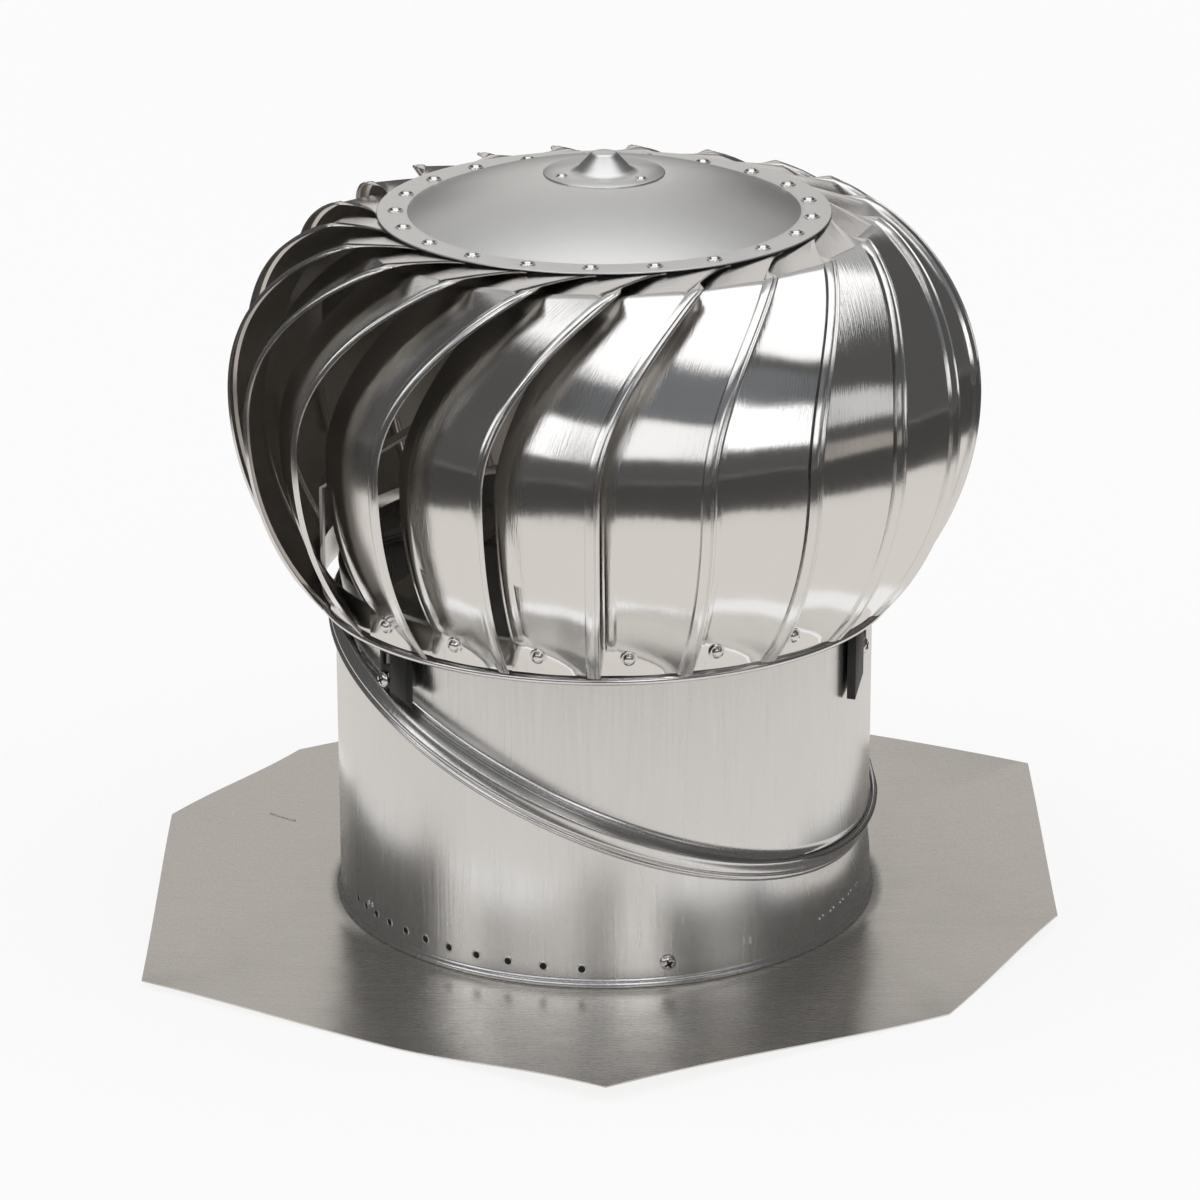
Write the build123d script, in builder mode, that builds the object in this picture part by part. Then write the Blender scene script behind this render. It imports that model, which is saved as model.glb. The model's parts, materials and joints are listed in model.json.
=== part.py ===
"""A twelve-inch turbine roof vent: a flashing, an elbow of two collars that swivel on a slanted seam, and a
bladed head that turns on a shaft held by braces inside it. Millimetres, +Z up, the throat's axis on Z and the
flashing's underside on Z = 0."""

import os
from math import asin, cos, degrees, radians, sin

from build123d import *

os.makedirs("parts", exist_ok=True)

# Sheet, clearances and the throat
throat_bore = 304.8
sheet = 0.8
blade_sheet = 0.7
slip_gap = 0.3
bearing_gap = 0.05
thrust_gap = 0.1
seat_gap = 0.05
quarter_turn = 90.0
hex_sides = 6

# Flashing: a hexagonal sheet with two opposite corners cut off, and the throat's upstand set in its hole
flashing_across = 518.0
flashing_turn = 30.0
clipped_corner_turn = 150.0
upstand_height = 20.0

# Collars and the slanted seam they swivel on
foot_bead = 2.4
foot_height = 5.0
skirt_height = 22.0
seam_height = 117.7
seam_tilt = 24.0
seam_turn = -19.2
seam_reach = 12.6
hem_reach = 4.4
hem_height = 10.0
seam_flare = 6.0
hem_flare = 2.0
neck_top = 205.0

# Lock screw of the lower collar, and the moulded brackets that clamp the brace legs
lock_screw_turn = -77.0
lock_screw_height = 14.5
screw_radius = 2.1
screw_head_radius = 4.4
screw_head_height = 2.4
hole_gap = 0.2
bracket_turns = (219.0, 339.0, 99.0)
bracket_sides = (1, -1, -1)
bracket_tails = (0.0, 12.0, 0.0)
bracket_top_drop = 21.5
bracket_screw_drop = 37.5
bracket_flange_width = 12.0
bracket_flange_thickness = 2.5
bracket_block_width = 14.0
bracket_block_thickness = 5.0
bracket_toe = 5.6
bracket_toe_slope = 0.39
bracket_slot_width = 6.5
bracket_slot_height = 6.0
bracket_slot_rise = 9.5

# Fixed brace: three legs up to a bearing tube
leg_width = 20.0
leg_sheet = 2.0
leg_foot_length = 45.0
leg_wall_gap = 0.5
leg_bend_inset = 6.0
hub_rise = 57.0
hub_flange_radius = 34.0
hub_flange_thickness = 2.0
hub_bolt_circle = 27.0
tube_radius = 17.0
tube_wall = 3.0
tube_below_flange = 16.0
tube_above_flange = 34.0
bearing_width = 9.0
bearing_lip = 1.5

# Rotor shaft, its thrust collar, and the arms that brace the bottom ring
shaft_radius = 6.0
shaft_below_tube = 6.0
shaft_end_gap = 3.0
thrust_collar_radius = 10.5
thrust_collar_height = 8.0
nut_across_flats = 17.0
nut_height = 5.0
arm_hub_gap = 20.4
arm_hub_radius = 30.0
arm_hub_thickness = 2.0
arm_hub_sleeve_radius = 9.5
arm_hub_sleeve_height = 14.0
arm_bolt_circle = 22.0
arm_width = 16.0
arm_sheet = 1.6
arm_turns = (178.5, 298.5, 58.5)
arm_shoulder_rise = 37.0
arm_foot_rise = 4.5

# Bottom ring of the rotor, with its rolled edge
ring_reach = 11.1
ring_drop = 18.0
ring_height = 20.0
ring_bead_radius = 2.2
ring_bead_sides = 8

# Top plate: a flat rim, a shallow dome and the bearing cap on it
plate_radius = 127.1
plate_rise = 102.0
plate_rim_width = 17.1
dome_rise = 21.0
dome_curve = 260.0
pad_radius = 36.0
cap_flange_radius = 34.0
cap_base_radius = 17.0
cap_top_radius = 7.5
cap_height = 12.0
cap_rivet_circle = 25.5
cap_rivet_turn = -37.0
cap_rivet_count = 3

# Blades: a strip whose outline bulges to the waist, twisted so that one long edge stands proud
blade_count = 21
first_blade_turn = -85.5
waist_reach = 48.2
waist_rise = 113.4
blade_foot_reach = 5.5
blade_foot_rise = 3.6
upper_sweep = 58.0
fold_drop = 5.3
outer_edge_turn = 11.8
outer_edge_curl = 0.0058
inner_edge_turn = -5.2
inner_edge_curl = 0.030
waist_lap = 19.5
lap_growth = 0.05
lower_stations = 5
upper_stations = 6
bead_width = 4.5
bead_height = 1.8
fold_inset = 8.6
fold_start = 8.0
fold_end = 61.0
tab_turn = 26.2
tab_end_turns = (21.5, 31.0)
tab_reach = 20.1
tab_root = (2.0, 15.0)
tip_root = (17.0, 47.0)
tip_turn = 44.5
tip_gap = 6.0
tip_rise = 3.4
tip_width = 4.0

# Rivets
rivet_radius = 3.8
rivet_height = 1.5
rivet_sides = 10
plate_rivet_inset = 10.6
ring_rivet_rise = 11.0

# Radii and heights worked out from the sizes above, from the throat outwards and from the neck upwards
throat_radius = throat_bore / 2
collar_radius = throat_radius + 2 * sheet + slip_gap
neck_radius = throat_radius + sheet
seam_radius = throat_radius + seam_reach
ring_radius = throat_radius + ring_reach
waist_radius = ring_radius + waist_reach
dome_radius = plate_radius - plate_rim_width
plate_rivet_circle = plate_radius - plate_rivet_inset
tab_end_radius = plate_radius - tab_reach
ring_bottom = neck_top - ring_drop
ring_top = ring_bottom + ring_height
ring_rivet_height = ring_bottom + ring_rivet_rise
blade_foot_height = ring_bottom + blade_foot_rise
waist_height = blade_foot_height + waist_rise
plate_underside = waist_height + plate_rise
hub_height = neck_top + hub_rise
tube_bottom = hub_height - tube_below_flange
tube_top = hub_height + tube_above_flange
thrust_collar_foot = tube_top + bearing_lip + thrust_gap
arm_hub_height = thrust_collar_foot + thrust_collar_height + arm_hub_gap
arm_foot_height = ring_bottom + arm_foot_rise
arm_shoulder_height = ring_top + arm_shoulder_rise
foot_inset = waist_reach - blade_foot_reach
lower_arc = (waist_rise**2 + foot_inset**2) / (2 * foot_inset)
upper_arc = (plate_rise - fold_drop) / sin(radians(upper_sweep))
blade_pitch = 4 * quarter_turn / blade_count
tab_level = plate_underside - blade_sheet / 2

# Frames worked out from the seam
seam_centre = Vector(0, 0, seam_height)
seam_normal = Vector(
    sin(radians(seam_tilt)) * cos(radians(seam_turn)),
    sin(radians(seam_tilt)) * sin(radians(seam_turn)),
    cos(radians(seam_tilt)),
)
seam_across = Vector(-sin(radians(seam_turn)), cos(radians(seam_turn)), 0)
seam_plane = Plane(origin=seam_centre, x_dir=seam_across, z_dir=seam_normal)
seam_axis = Axis(seam_centre, seam_normal)
seam_section = Plane(origin=seam_centre, x_dir=seam_across, z_dir=seam_across.cross(seam_normal))


def level_plane(height):
    """A level plane whose X runs the same way as the seam plane's, so that lofted circles don't twist."""
    return Plane(origin=(0, 0, height), x_dir=seam_across, z_dir=(0, 0, 1))


def upright_plane(turn):
    """The upright plane through the throat's axis: local X is the radius and local Y is the height."""
    outward = Vector(cos(radians(turn)), sin(radians(turn)), 0)
    return Plane(origin=(0, 0, 0), x_dir=outward, z_dir=outward.cross(Vector(0, 0, 1)))


def around(radius, turn, height):
    """A point at a radius and a turn about the throat's axis."""
    return Vector(radius * cos(radians(turn)), radius * sin(radians(turn)), height)


def chord_rise(width, radius):
    """How far an arc of that radius rises above a chord of that width."""
    return width**2 / (8 * radius)


def neck_wall_plane(turn, drop):
    """The plane that touches the neck's outer wall, at a drop below its top edge: X goes round, Z outwards."""
    lap = radians(turn - seam_turn - quarter_turn)
    level = level_plane(neck_top)
    slanted = seam_plane.offset(seam_flare)
    top = level.origin + (level.x_dir * cos(lap) + level.y_dir * sin(lap)) * neck_radius
    bottom = slanted.origin + (slanted.x_dir * cos(lap) + slanted.y_dir * sin(lap)) * seam_radius
    share = drop / (top - bottom).length
    up = (top - bottom).normalized()
    along_top = (level.y_dir * cos(lap) - level.x_dir * sin(lap)) * neck_radius
    along_bottom = (slanted.y_dir * cos(lap) - slanted.x_dir * sin(lap)) * seam_radius
    along = along_top * (1 - share) + along_bottom * share
    across = (along - up * along.dot(up)).normalized()
    return Plane(origin=top - up * drop, x_dir=across, z_dir=across.cross(up))


def finish(piece, name):
    """Labels a finished piece and writes its file."""
    piece.part.label = name
    export_step(piece.part, f"parts/{name}.step")


# Flashing
with BuildPart() as flashing:
    with BuildSketch(Plane.XY):
        RegularPolygon(flashing_across / 2, hex_sides, major_radius=False, rotation=flashing_turn)
        Rectangle(flashing_across, flashing_across * 2, rotation=clipped_corner_turn, mode=Mode.INTERSECT)
        Circle(throat_radius + sheet + seat_gap, mode=Mode.SUBTRACT)
    extrude(amount=sheet)
finish(flashing, "flashing")

# Throat ring: the upstand in the flashing's hole, inside the lower collar
with BuildPart() as throat_ring:
    with BuildSketch(Plane.XY):
        Circle(throat_radius + sheet)
        Circle(throat_radius, mode=Mode.SUBTRACT)
    extrude(amount=upstand_height)
finish(throat_ring, "throat_ring")

# Lower collar: a straight skirt over the upstand, a wall that leans to the slanted seam, and the hem that holds
# the neck's flange
hem_radius = seam_radius + hem_reach
hem_half = hem_height / 2
lip_radius = seam_radius + slip_gap
collar_seam_drop = -hem_half - hem_flare
with BuildPart() as lower_collar:
    with BuildSketch(level_plane(skirt_height)):
        Circle(collar_radius)
    with BuildSketch(seam_plane.offset(collar_seam_drop)):
        Circle(seam_radius)
    loft(ruled=True)
    with BuildSketch(level_plane(skirt_height)):
        Circle(collar_radius - sheet)
    with BuildSketch(seam_plane.offset(collar_seam_drop)):
        Circle(seam_radius - sheet)
    loft(ruled=True, mode=Mode.SUBTRACT)
    with BuildSketch(level_plane(sheet)):
        Circle(collar_radius)
        Circle(collar_radius - sheet, mode=Mode.SUBTRACT)
    extrude(amount=skirt_height - sheet)
    with BuildSketch(seam_section):
        with BuildLine():
            Polyline(
                (seam_radius - sheet, collar_seam_drop),
                (seam_radius - sheet, sheet - hem_half),
                (hem_radius - sheet, sheet - hem_half),
                (hem_radius - sheet, hem_half - sheet),
                (lip_radius, hem_half - sheet),
                (lip_radius, hem_half),
                (hem_radius, hem_half),
                (hem_radius, -hem_half),
                (seam_radius, collar_seam_drop),
                close=True,
            )
        make_face()
    revolve(axis=seam_axis)
    with BuildSketch(Plane.XZ):
        with BuildLine():
            Polyline(
                (collar_radius - sheet / 2, sheet),
                (collar_radius + foot_bead, sheet),
                (collar_radius + foot_bead, foot_height - foot_bead),
                (collar_radius - sheet / 2, foot_height),
                close=True,
            )
        make_face()
    revolve(axis=Axis.Z)
    with BuildSketch(upright_plane(lock_screw_turn + quarter_turn)):
        with Locations((0, lock_screw_height)):
            Circle(screw_radius + hole_gap)
    extrude(amount=collar_radius * 2, mode=Mode.SUBTRACT)
finish(lower_collar, "lower_collar")

# Lock screw: holds the lower collar to the throat ring at the set turn
lock_plane = Plane(
    origin=around(collar_radius + slip_gap, lock_screw_turn, lock_screw_height),
    x_dir=around(1, lock_screw_turn + quarter_turn, 0),
    z_dir=around(1, lock_screw_turn, 0),
)
with BuildPart() as lock_screw:
    with BuildSketch(lock_plane):
        Circle(screw_head_radius)
    extrude(amount=screw_head_height)
    head_face = lock_screw.faces().sort_by(Axis(lock_plane.origin, lock_plane.z_dir))[-1]
    chamfer(head_face.edges(), screw_head_height / 2)
    with BuildSketch(lock_plane):
        Circle(screw_radius)
    extrude(amount=-sheet - slip_gap - slip_gap / 2)
finish(lock_screw, "lock_screw")

# Upper collar: the neck, from the flange held in the hem up to a level top edge
flange_floor = sheet - hem_half + slip_gap
flange_radius = hem_radius - sheet - slip_gap
bracket_planes = [neck_wall_plane(turn, bracket_screw_drop) for turn in bracket_turns]
with BuildPart() as upper_collar:
    with BuildSketch(level_plane(neck_top)):
        Circle(neck_radius)
    with BuildSketch(seam_plane.offset(seam_flare)):
        Circle(seam_radius)
    loft(ruled=True)
    with BuildSketch(level_plane(neck_top)):
        Circle(neck_radius - sheet)
    with BuildSketch(seam_plane.offset(seam_flare)):
        Circle(seam_radius - sheet)
    loft(ruled=True, mode=Mode.SUBTRACT)
    with BuildSketch(seam_section):
        with BuildLine():
            Polyline(
                (seam_radius - sheet, seam_flare),
                (seam_radius - sheet, flange_floor),
                (flange_radius, flange_floor),
                (flange_radius, flange_floor + sheet),
                (seam_radius, flange_floor + sheet),
                (seam_radius, seam_flare),
                close=True,
            )
        make_face()
    revolve(axis=seam_axis)
    for plane in bracket_planes:
        with BuildSketch(plane):
            Circle(screw_radius + hole_gap)
        extrude(amount=sheet * 4, both=True, mode=Mode.SUBTRACT)
finish(upper_collar, "upper_collar")

# Brackets: a moulded block beside a screwed flange with a slot in it
bracket_top = bracket_screw_drop - bracket_top_drop
flange_edge = bracket_flange_width / 2
block_edge = flange_edge + bracket_block_width
flange_heel = -bracket_toe + bracket_toe_slope * flange_edge
flange_toe = -bracket_toe - bracket_toe_slope * flange_edge
block_toe = -bracket_toe - bracket_toe_slope * block_edge
for index, plane in enumerate(bracket_planes):
    seat = plane.offset(slip_gap / 2)
    side = bracket_sides[index]
    tail = bracket_tails[index]
    with BuildPart() as bracket:
        with BuildSketch(seat):
            with BuildLine():
                Polyline(
                    (-side * flange_edge, bracket_top),
                    (side * flange_edge, bracket_top),
                    (side * flange_edge, flange_toe),
                    (-side * flange_edge, flange_heel),
                    close=True,
                )
            make_face()
            with Locations((0, bracket_slot_rise)):
                Rectangle(bracket_slot_width, bracket_slot_height, mode=Mode.SUBTRACT)
            Circle(screw_radius + hole_gap, mode=Mode.SUBTRACT)
        extrude(amount=bracket_flange_thickness)
        with BuildSketch(seat):
            with BuildLine():
                Polyline(
                    (side * flange_edge, bracket_top),
                    (side * block_edge, bracket_top),
                    (side * block_edge, block_toe - tail),
                    (side * flange_edge, flange_toe - tail / 2),
                    close=True,
                )
            make_face()
        extrude(amount=bracket_block_thickness)
    finish(bracket, f"bracket_{index + 1}")

# Bracket screws: through the bracket, the neck's wall and the foot of a brace leg
leg_seat = sheet + leg_wall_gap + chord_rise(leg_width, neck_radius)
with BuildPart() as bracket_screws:
    for plane in bracket_planes:
        seat = plane.offset(slip_gap / 2 + bracket_flange_thickness)
        with BuildSketch(seat):
            Circle(screw_head_radius)
        extrude(amount=screw_head_height)
        with BuildSketch(seat):
            Circle(screw_radius)
        extrude(amount=-bracket_flange_thickness - slip_gap - leg_seat - leg_sheet)
finish(bracket_screws, "bracket_screws")

# Brace legs: a foot inside the neck's wall, a sloping strut, and a level tab under the hub's flange
for index, (turn, plane) in enumerate(zip(bracket_turns, bracket_planes), start=1):
    foot_plane = plane.offset(-leg_seat)
    tab_height = hub_height - leg_sheet / 2
    with BuildPart() as leg:
        with BuildSketch(foot_plane):
            with Locations((0, bracket_screw_drop)):
                Rectangle(leg_width, leg_foot_length, align=(Align.CENTER, Align.MAX))
            Circle(screw_radius + hole_gap, mode=Mode.SUBTRACT)
        extrude(amount=-leg_sheet)
        with BuildSketch(upright_plane(turn)):
            with BuildLine():
                Polyline(
                    (neck_radius - leg_seat - leg_sheet / 2, neck_top - leg_sheet),
                    (neck_radius - leg_seat - leg_bend_inset, neck_top + leg_bend_inset),
                    (hub_flange_radius + leg_sheet, tab_height),
                    (tube_radius + leg_sheet, tab_height),
                )
            trace(line_width=leg_sheet)
        extrude(amount=leg_width / 2, both=True)
        with BuildSketch(Plane.XY.offset(hub_height)):
            with Locations(around(hub_bolt_circle, turn, 0)):
                Circle(screw_radius + hole_gap)
        extrude(amount=-leg_sheet * 2, mode=Mode.SUBTRACT)
    finish(leg, f"brace_leg_{index}")

# Bearing tube: a flange on the legs' tabs, and a bore for a bearing at each end
with BuildPart() as bearing_tube:
    with BuildSketch(Plane.XY.offset(hub_height)):
        Circle(hub_flange_radius)
        with PolarLocations(hub_bolt_circle, len(bracket_turns), start_angle=bracket_turns[0]):
            Circle(screw_radius + hole_gap, mode=Mode.SUBTRACT)
    extrude(amount=hub_flange_thickness)
    with BuildSketch(Plane.XY.offset(tube_bottom)):
        Circle(tube_radius)
    extrude(amount=tube_top - tube_bottom)
    with BuildSketch(Plane.XY.offset(tube_bottom)):
        Circle(tube_radius - tube_wall)
    extrude(amount=tube_top - tube_bottom, mode=Mode.SUBTRACT)
finish(bearing_tube, "bearing_tube")

# Bearings: a flanged bush in each end of the tube
for name, mouth, inward in (("lower_bearing", tube_bottom, 1), ("upper_bearing", tube_top, -1)):
    with BuildPart() as bearing:
        with BuildSketch(Plane.XY.offset(mouth)):
            Circle(tube_radius - tube_wall - bearing_gap)
        extrude(amount=inward * bearing_width)
        with BuildSketch(Plane.XY.offset(mouth)):
            Circle(tube_radius)
        extrude(amount=-inward * bearing_lip)
        with BuildSketch(Plane.XY.offset(mouth)):
            Circle(shaft_radius + bearing_gap)
        extrude(amount=bearing_width, both=True, mode=Mode.SUBTRACT)
    finish(bearing, name)

# Hub bolts: pinch the legs' tabs to the flange
with BuildPart() as hub_bolts:
    for turn in bracket_turns:
        with BuildSketch(Plane.XY.offset(hub_height + hub_flange_thickness)):
            with Locations(around(hub_bolt_circle, turn, 0)):
                RegularPolygon(screw_head_radius, hex_sides)
        extrude(amount=screw_head_height)
        with BuildSketch(Plane.XY.offset(hub_height + hub_flange_thickness)):
            with Locations(around(hub_bolt_circle, turn, 0)):
                Circle(screw_radius)
        extrude(amount=-hub_flange_thickness - leg_sheet - screw_head_height)
finish(hub_bolts, "hub_bolts")

# Rotor shaft: from below the tube up into the bearing cap
pad_height = plate_underside + sheet + dome_rise
cap_top = pad_height + cap_height
shaft_bottom = tube_bottom - bearing_lip - shaft_below_tube
with BuildPart() as shaft:
    with BuildSketch(Plane.XY.offset(shaft_bottom)):
        Circle(shaft_radius)
    extrude(amount=cap_top - sheet - shaft_end_gap - shaft_bottom)
finish(shaft, "shaft")

# Thrust collar: carries the rotor on the upper bearing
with BuildPart() as thrust_collar:
    with BuildSketch(Plane.XY.offset(thrust_collar_foot)):
        Circle(thrust_collar_radius)
        Circle(shaft_radius + bearing_gap / 2, mode=Mode.SUBTRACT)
    extrude(amount=thrust_collar_height)
finish(thrust_collar, "thrust_collar")

# Shaft nut: clamps the shaft under the dome's flat
with BuildPart() as shaft_nut:
    with BuildSketch(Plane.XY.offset(pad_height - sheet)):
        RegularPolygon(nut_across_flats / 2, hex_sides, major_radius=False)
        Circle(shaft_radius + bearing_gap / 2, mode=Mode.SUBTRACT)
    extrude(amount=-nut_height)
finish(shaft_nut, "shaft_nut")

# Arm hub: a sleeve on the shaft with a flange for the rotor's arms
with BuildPart() as arm_hub:
    with BuildSketch(Plane.XY.offset(arm_hub_height)):
        Circle(arm_hub_radius)
        with PolarLocations(arm_bolt_circle, len(arm_turns), start_angle=arm_turns[0]):
            Circle(screw_radius + hole_gap, mode=Mode.SUBTRACT)
    extrude(amount=arm_hub_thickness)
    with BuildSketch(Plane.XY.offset(arm_hub_height)):
        Circle(arm_hub_sleeve_radius)
    extrude(amount=arm_hub_sleeve_height)
    with BuildSketch(Plane.XY.offset(arm_hub_height)):
        Circle(shaft_radius + bearing_gap / 2)
    extrude(amount=arm_hub_sleeve_height, mode=Mode.SUBTRACT)
finish(arm_hub, "arm_hub")

# Rotor arms: up from the inside of the bottom ring, then sloping in to the arm hub
arm_seat = ring_radius - sheet - slip_gap - chord_rise(arm_width, ring_radius) - arm_sheet / 2
for index, turn in enumerate(arm_turns, start=1):
    arm_tab_height = arm_hub_height - arm_sheet / 2
    with BuildPart() as arm:
        with BuildSketch(upright_plane(turn)):
            with BuildLine():
                Polyline(
                    (arm_seat, arm_foot_height),
                    (arm_seat, arm_shoulder_height),
                    (arm_hub_radius + arm_sheet, arm_tab_height),
                    (arm_hub_sleeve_radius + arm_sheet, arm_tab_height),
                )
            trace(line_width=arm_sheet)
        extrude(amount=arm_width / 2, both=True)
        with BuildSketch(Plane.XY.offset(arm_hub_height)):
            with Locations(around(arm_bolt_circle, turn, 0)):
                Circle(screw_radius + hole_gap)
        extrude(amount=-arm_sheet * 2, mode=Mode.SUBTRACT)
    finish(arm, f"rotor_arm_{index}")

# Arm bolts: pinch the arms' tabs to the arm hub
with BuildPart() as arm_bolts:
    for turn in arm_turns:
        with BuildSketch(Plane.XY.offset(arm_hub_height + arm_hub_thickness)):
            with Locations(around(arm_bolt_circle, turn, 0)):
                RegularPolygon(screw_head_radius, hex_sides)
        extrude(amount=screw_head_height)
        with BuildSketch(Plane.XY.offset(arm_hub_height + arm_hub_thickness)):
            with Locations(around(arm_bolt_circle, turn, 0)):
                Circle(screw_radius)
        extrude(amount=-arm_hub_thickness - arm_sheet - screw_head_height)
finish(arm_bolts, "arm_bolts")

# Bottom ring: an upright band with its lower edge rolled outwards
with BuildPart() as bottom_ring:
    with BuildSketch(Plane.XZ):
        with BuildLine():
            Polyline(
                (ring_radius - sheet, ring_bottom),
                (ring_radius, ring_bottom),
                (ring_radius, ring_top),
                (ring_radius - sheet, ring_top),
                close=True,
            )
        make_face()
        with Locations((ring_radius - sheet + ring_bead_radius, ring_bottom)):
            RegularPolygon(ring_bead_radius, ring_bead_sides, major_radius=False)
    revolve(axis=Axis.Z)
finish(bottom_ring, "bottom_ring")

# Top plate: the rim over the blades' tabs, the dome and the flat at its middle
with BuildPart() as top_plate:
    with BuildSketch(Plane.XZ):
        with BuildLine():
            rim = Polyline(
                (shaft_radius + slip_gap, pad_height - sheet / 2),
                (pad_radius, pad_height - sheet / 2),
            )
            dome = RadiusArc(rim @ 1, (dome_radius, plate_underside + sheet / 2), dome_curve)
            Line(dome @ 1, (plate_radius, plate_underside + sheet / 2))
        trace(line_width=sheet)
    revolve(axis=Axis.Z)
finish(top_plate, "top_plate")

# Bearing cap: a flanged cone over the shaft's end
with BuildPart() as bearing_cap:
    with BuildSketch(Plane.XZ):
        with BuildLine():
            Polyline(
                (cap_flange_radius, pad_height),
                (cap_flange_radius, pad_height + sheet),
                (cap_base_radius, pad_height + sheet),
                (cap_top_radius, cap_top),
                (0, cap_top),
                (0, cap_top - sheet),
                (cap_top_radius - sheet / 2, cap_top - sheet),
                (cap_base_radius - sheet, pad_height),
                close=True,
            )
        make_face()
    revolve(axis=Axis.Z)
finish(bearing_cap, "bearing_cap")


def edge_stations():
    """Points on the blade's outer and inner edges, from its foot to the fold line beside the plate's rim."""
    foot_sweep = degrees(asin((waist_height - blade_foot_height) / lower_arc))
    lower = [-foot_sweep * (1 - step / lower_stations) for step in range(lower_stations)]
    upper = [upper_sweep * step / upper_stations for step in range(upper_stations + 1)]
    stations = []
    for sweep in lower + upper:
        arc = upper_arc if sweep > 0 else lower_arc
        rise = max(sweep, 0)
        height = waist_height + arc * sin(radians(sweep))
        outer_radius = waist_radius - arc * (1 - cos(radians(sweep)))
        lap = waist_lap + lap_growth * (height - waist_height)
        inner_radius = outer_radius - lap
        if sweep < 0:
            inner_radius = max(inner_radius, ring_radius + blade_sheet / 2 + slip_gap)
        outer = around(outer_radius, outer_edge_turn + outer_edge_curl * rise**2, height)
        inner = around(inner_radius, inner_edge_turn + inner_edge_curl * rise**1.5, height)
        stations.append((outer, inner))
    last_outer, last_inner = stations[-1]
    fold_along = (last_outer - last_inner).normalized()
    fold_line = last_inner + Vector(0, 0, fold_inset).cross(fold_along)
    fold_line.Z = tab_level
    stations.append((fold_line + fold_along * fold_end, fold_line + fold_along * fold_start))
    return stations


def blade_section(outer, inner, travel):
    """The plane across the blade at a station, with X from its inner edge to its outer one and Y outwards."""
    along = (outer - inner).normalized()
    outward = travel.cross(along).normalized()
    return Plane(origin=inner, x_dir=along, z_dir=along.cross(outward))


# Blade: lofted through sections that rise to a bead along the outer edge; past the fold line a tab runs level
# under the plate, and a tip rises over the next blade
stations = edge_stations()
middles = [(outer + inner) / 2 for outer, inner in stations]
fold_outer, fold_inner = stations[-1]
fold_along = (fold_outer - fold_inner).normalized()
fold_plane = blade_section(fold_outer, fold_inner, middles[-2] - middles[-1])
tab_outer = around(tab_end_radius, tab_end_turns[1], tab_level)
tab_inner = around(tab_end_radius, tab_end_turns[0], tab_level)
tip_outer = around(plate_radius + tip_gap, tip_turn, tab_level + tip_rise)
tip_inner = tip_outer - fold_along * tip_width
with BuildPart() as blade:
    for index, (outer, inner) in enumerate(stations):
        ahead = middles[min(index + 1, len(middles) - 1)]
        behind = middles[max(index - 1, 0)]
        width = (outer - inner).length
        with BuildSketch(blade_section(outer, inner, behind - ahead)):
            with BuildLine():
                Polyline(
                    (0, -blade_sheet / 2),
                    (width, -blade_sheet / 2),
                    (width, bead_height),
                    (width - bead_width, blade_sheet / 2),
                    (0, blade_sheet / 2),
                    close=True,
                )
            make_face()
    loft(ruled=True)
    for root, outer, inner in ((tab_root, tab_outer, tab_inner), (tip_root, tip_outer, tip_inner)):
        root_middle = sum(root) / 2
        travel = fold_inner + fold_along * root_middle - (outer + inner) / 2
        width = (outer - inner).length
        with BuildSketch(fold_plane):
            with Locations((root_middle, 0)):
                Rectangle(root[1] - root[0], blade_sheet)
        with BuildSketch(blade_section(outer, inner, travel)):
            with Locations((width / 2, 0)):
                Rectangle(width, blade_sheet)
        loft(ruled=True)
for index in range(blade_count):
    with BuildPart() as placed_blade:
        add(blade.part, rotation=(0, 0, first_blade_turn + index * blade_pitch))
    finish(placed_blade, f"blade_{index + 1:02d}")

# Rivets: the blades' tabs to the top plate, their feet to the bottom ring, and the cap to the dome
with BuildPart() as plate_rivets:
    with BuildSketch(Plane.XY.offset(plate_underside)):
        with PolarLocations(plate_rivet_circle, blade_count, start_angle=first_blade_turn + tab_turn):
            RegularPolygon(rivet_radius, rivet_sides)
    extrude(amount=sheet + rivet_height)
finish(plate_rivets, "plate_rivets")

with BuildPart() as ring_rivets:
    for index in range(blade_count):
        turn = first_blade_turn + index * blade_pitch
        seat = Plane(
            origin=around(ring_radius - sheet, turn, ring_rivet_height),
            x_dir=around(1, turn + quarter_turn, 0),
            z_dir=around(1, turn, 0),
        )
        with BuildSketch(seat):
            RegularPolygon(rivet_radius, rivet_sides)
        extrude(amount=sheet + slip_gap + 2 * blade_sheet + rivet_height)
finish(ring_rivets, "ring_rivets")

with BuildPart() as cap_rivets:
    with BuildSketch(Plane.XY.offset(pad_height - sheet)):
        with PolarLocations(cap_rivet_circle, cap_rivet_count, start_angle=cap_rivet_turn):
            RegularPolygon(rivet_radius, rivet_sides)
    extrude(amount=2 * sheet + rivet_height)
finish(cap_rivets, "cap_rivets")
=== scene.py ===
"""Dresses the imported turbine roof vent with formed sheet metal, and sets its studio."""

import json
from math import asin, atan2, cos, degrees, hypot, pi, radians, sin

import bmesh
import bpy
from bpy.props import FloatProperty, FloatVectorProperty, IntProperty, PointerProperty
from mathutils import Matrix, Vector


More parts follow.
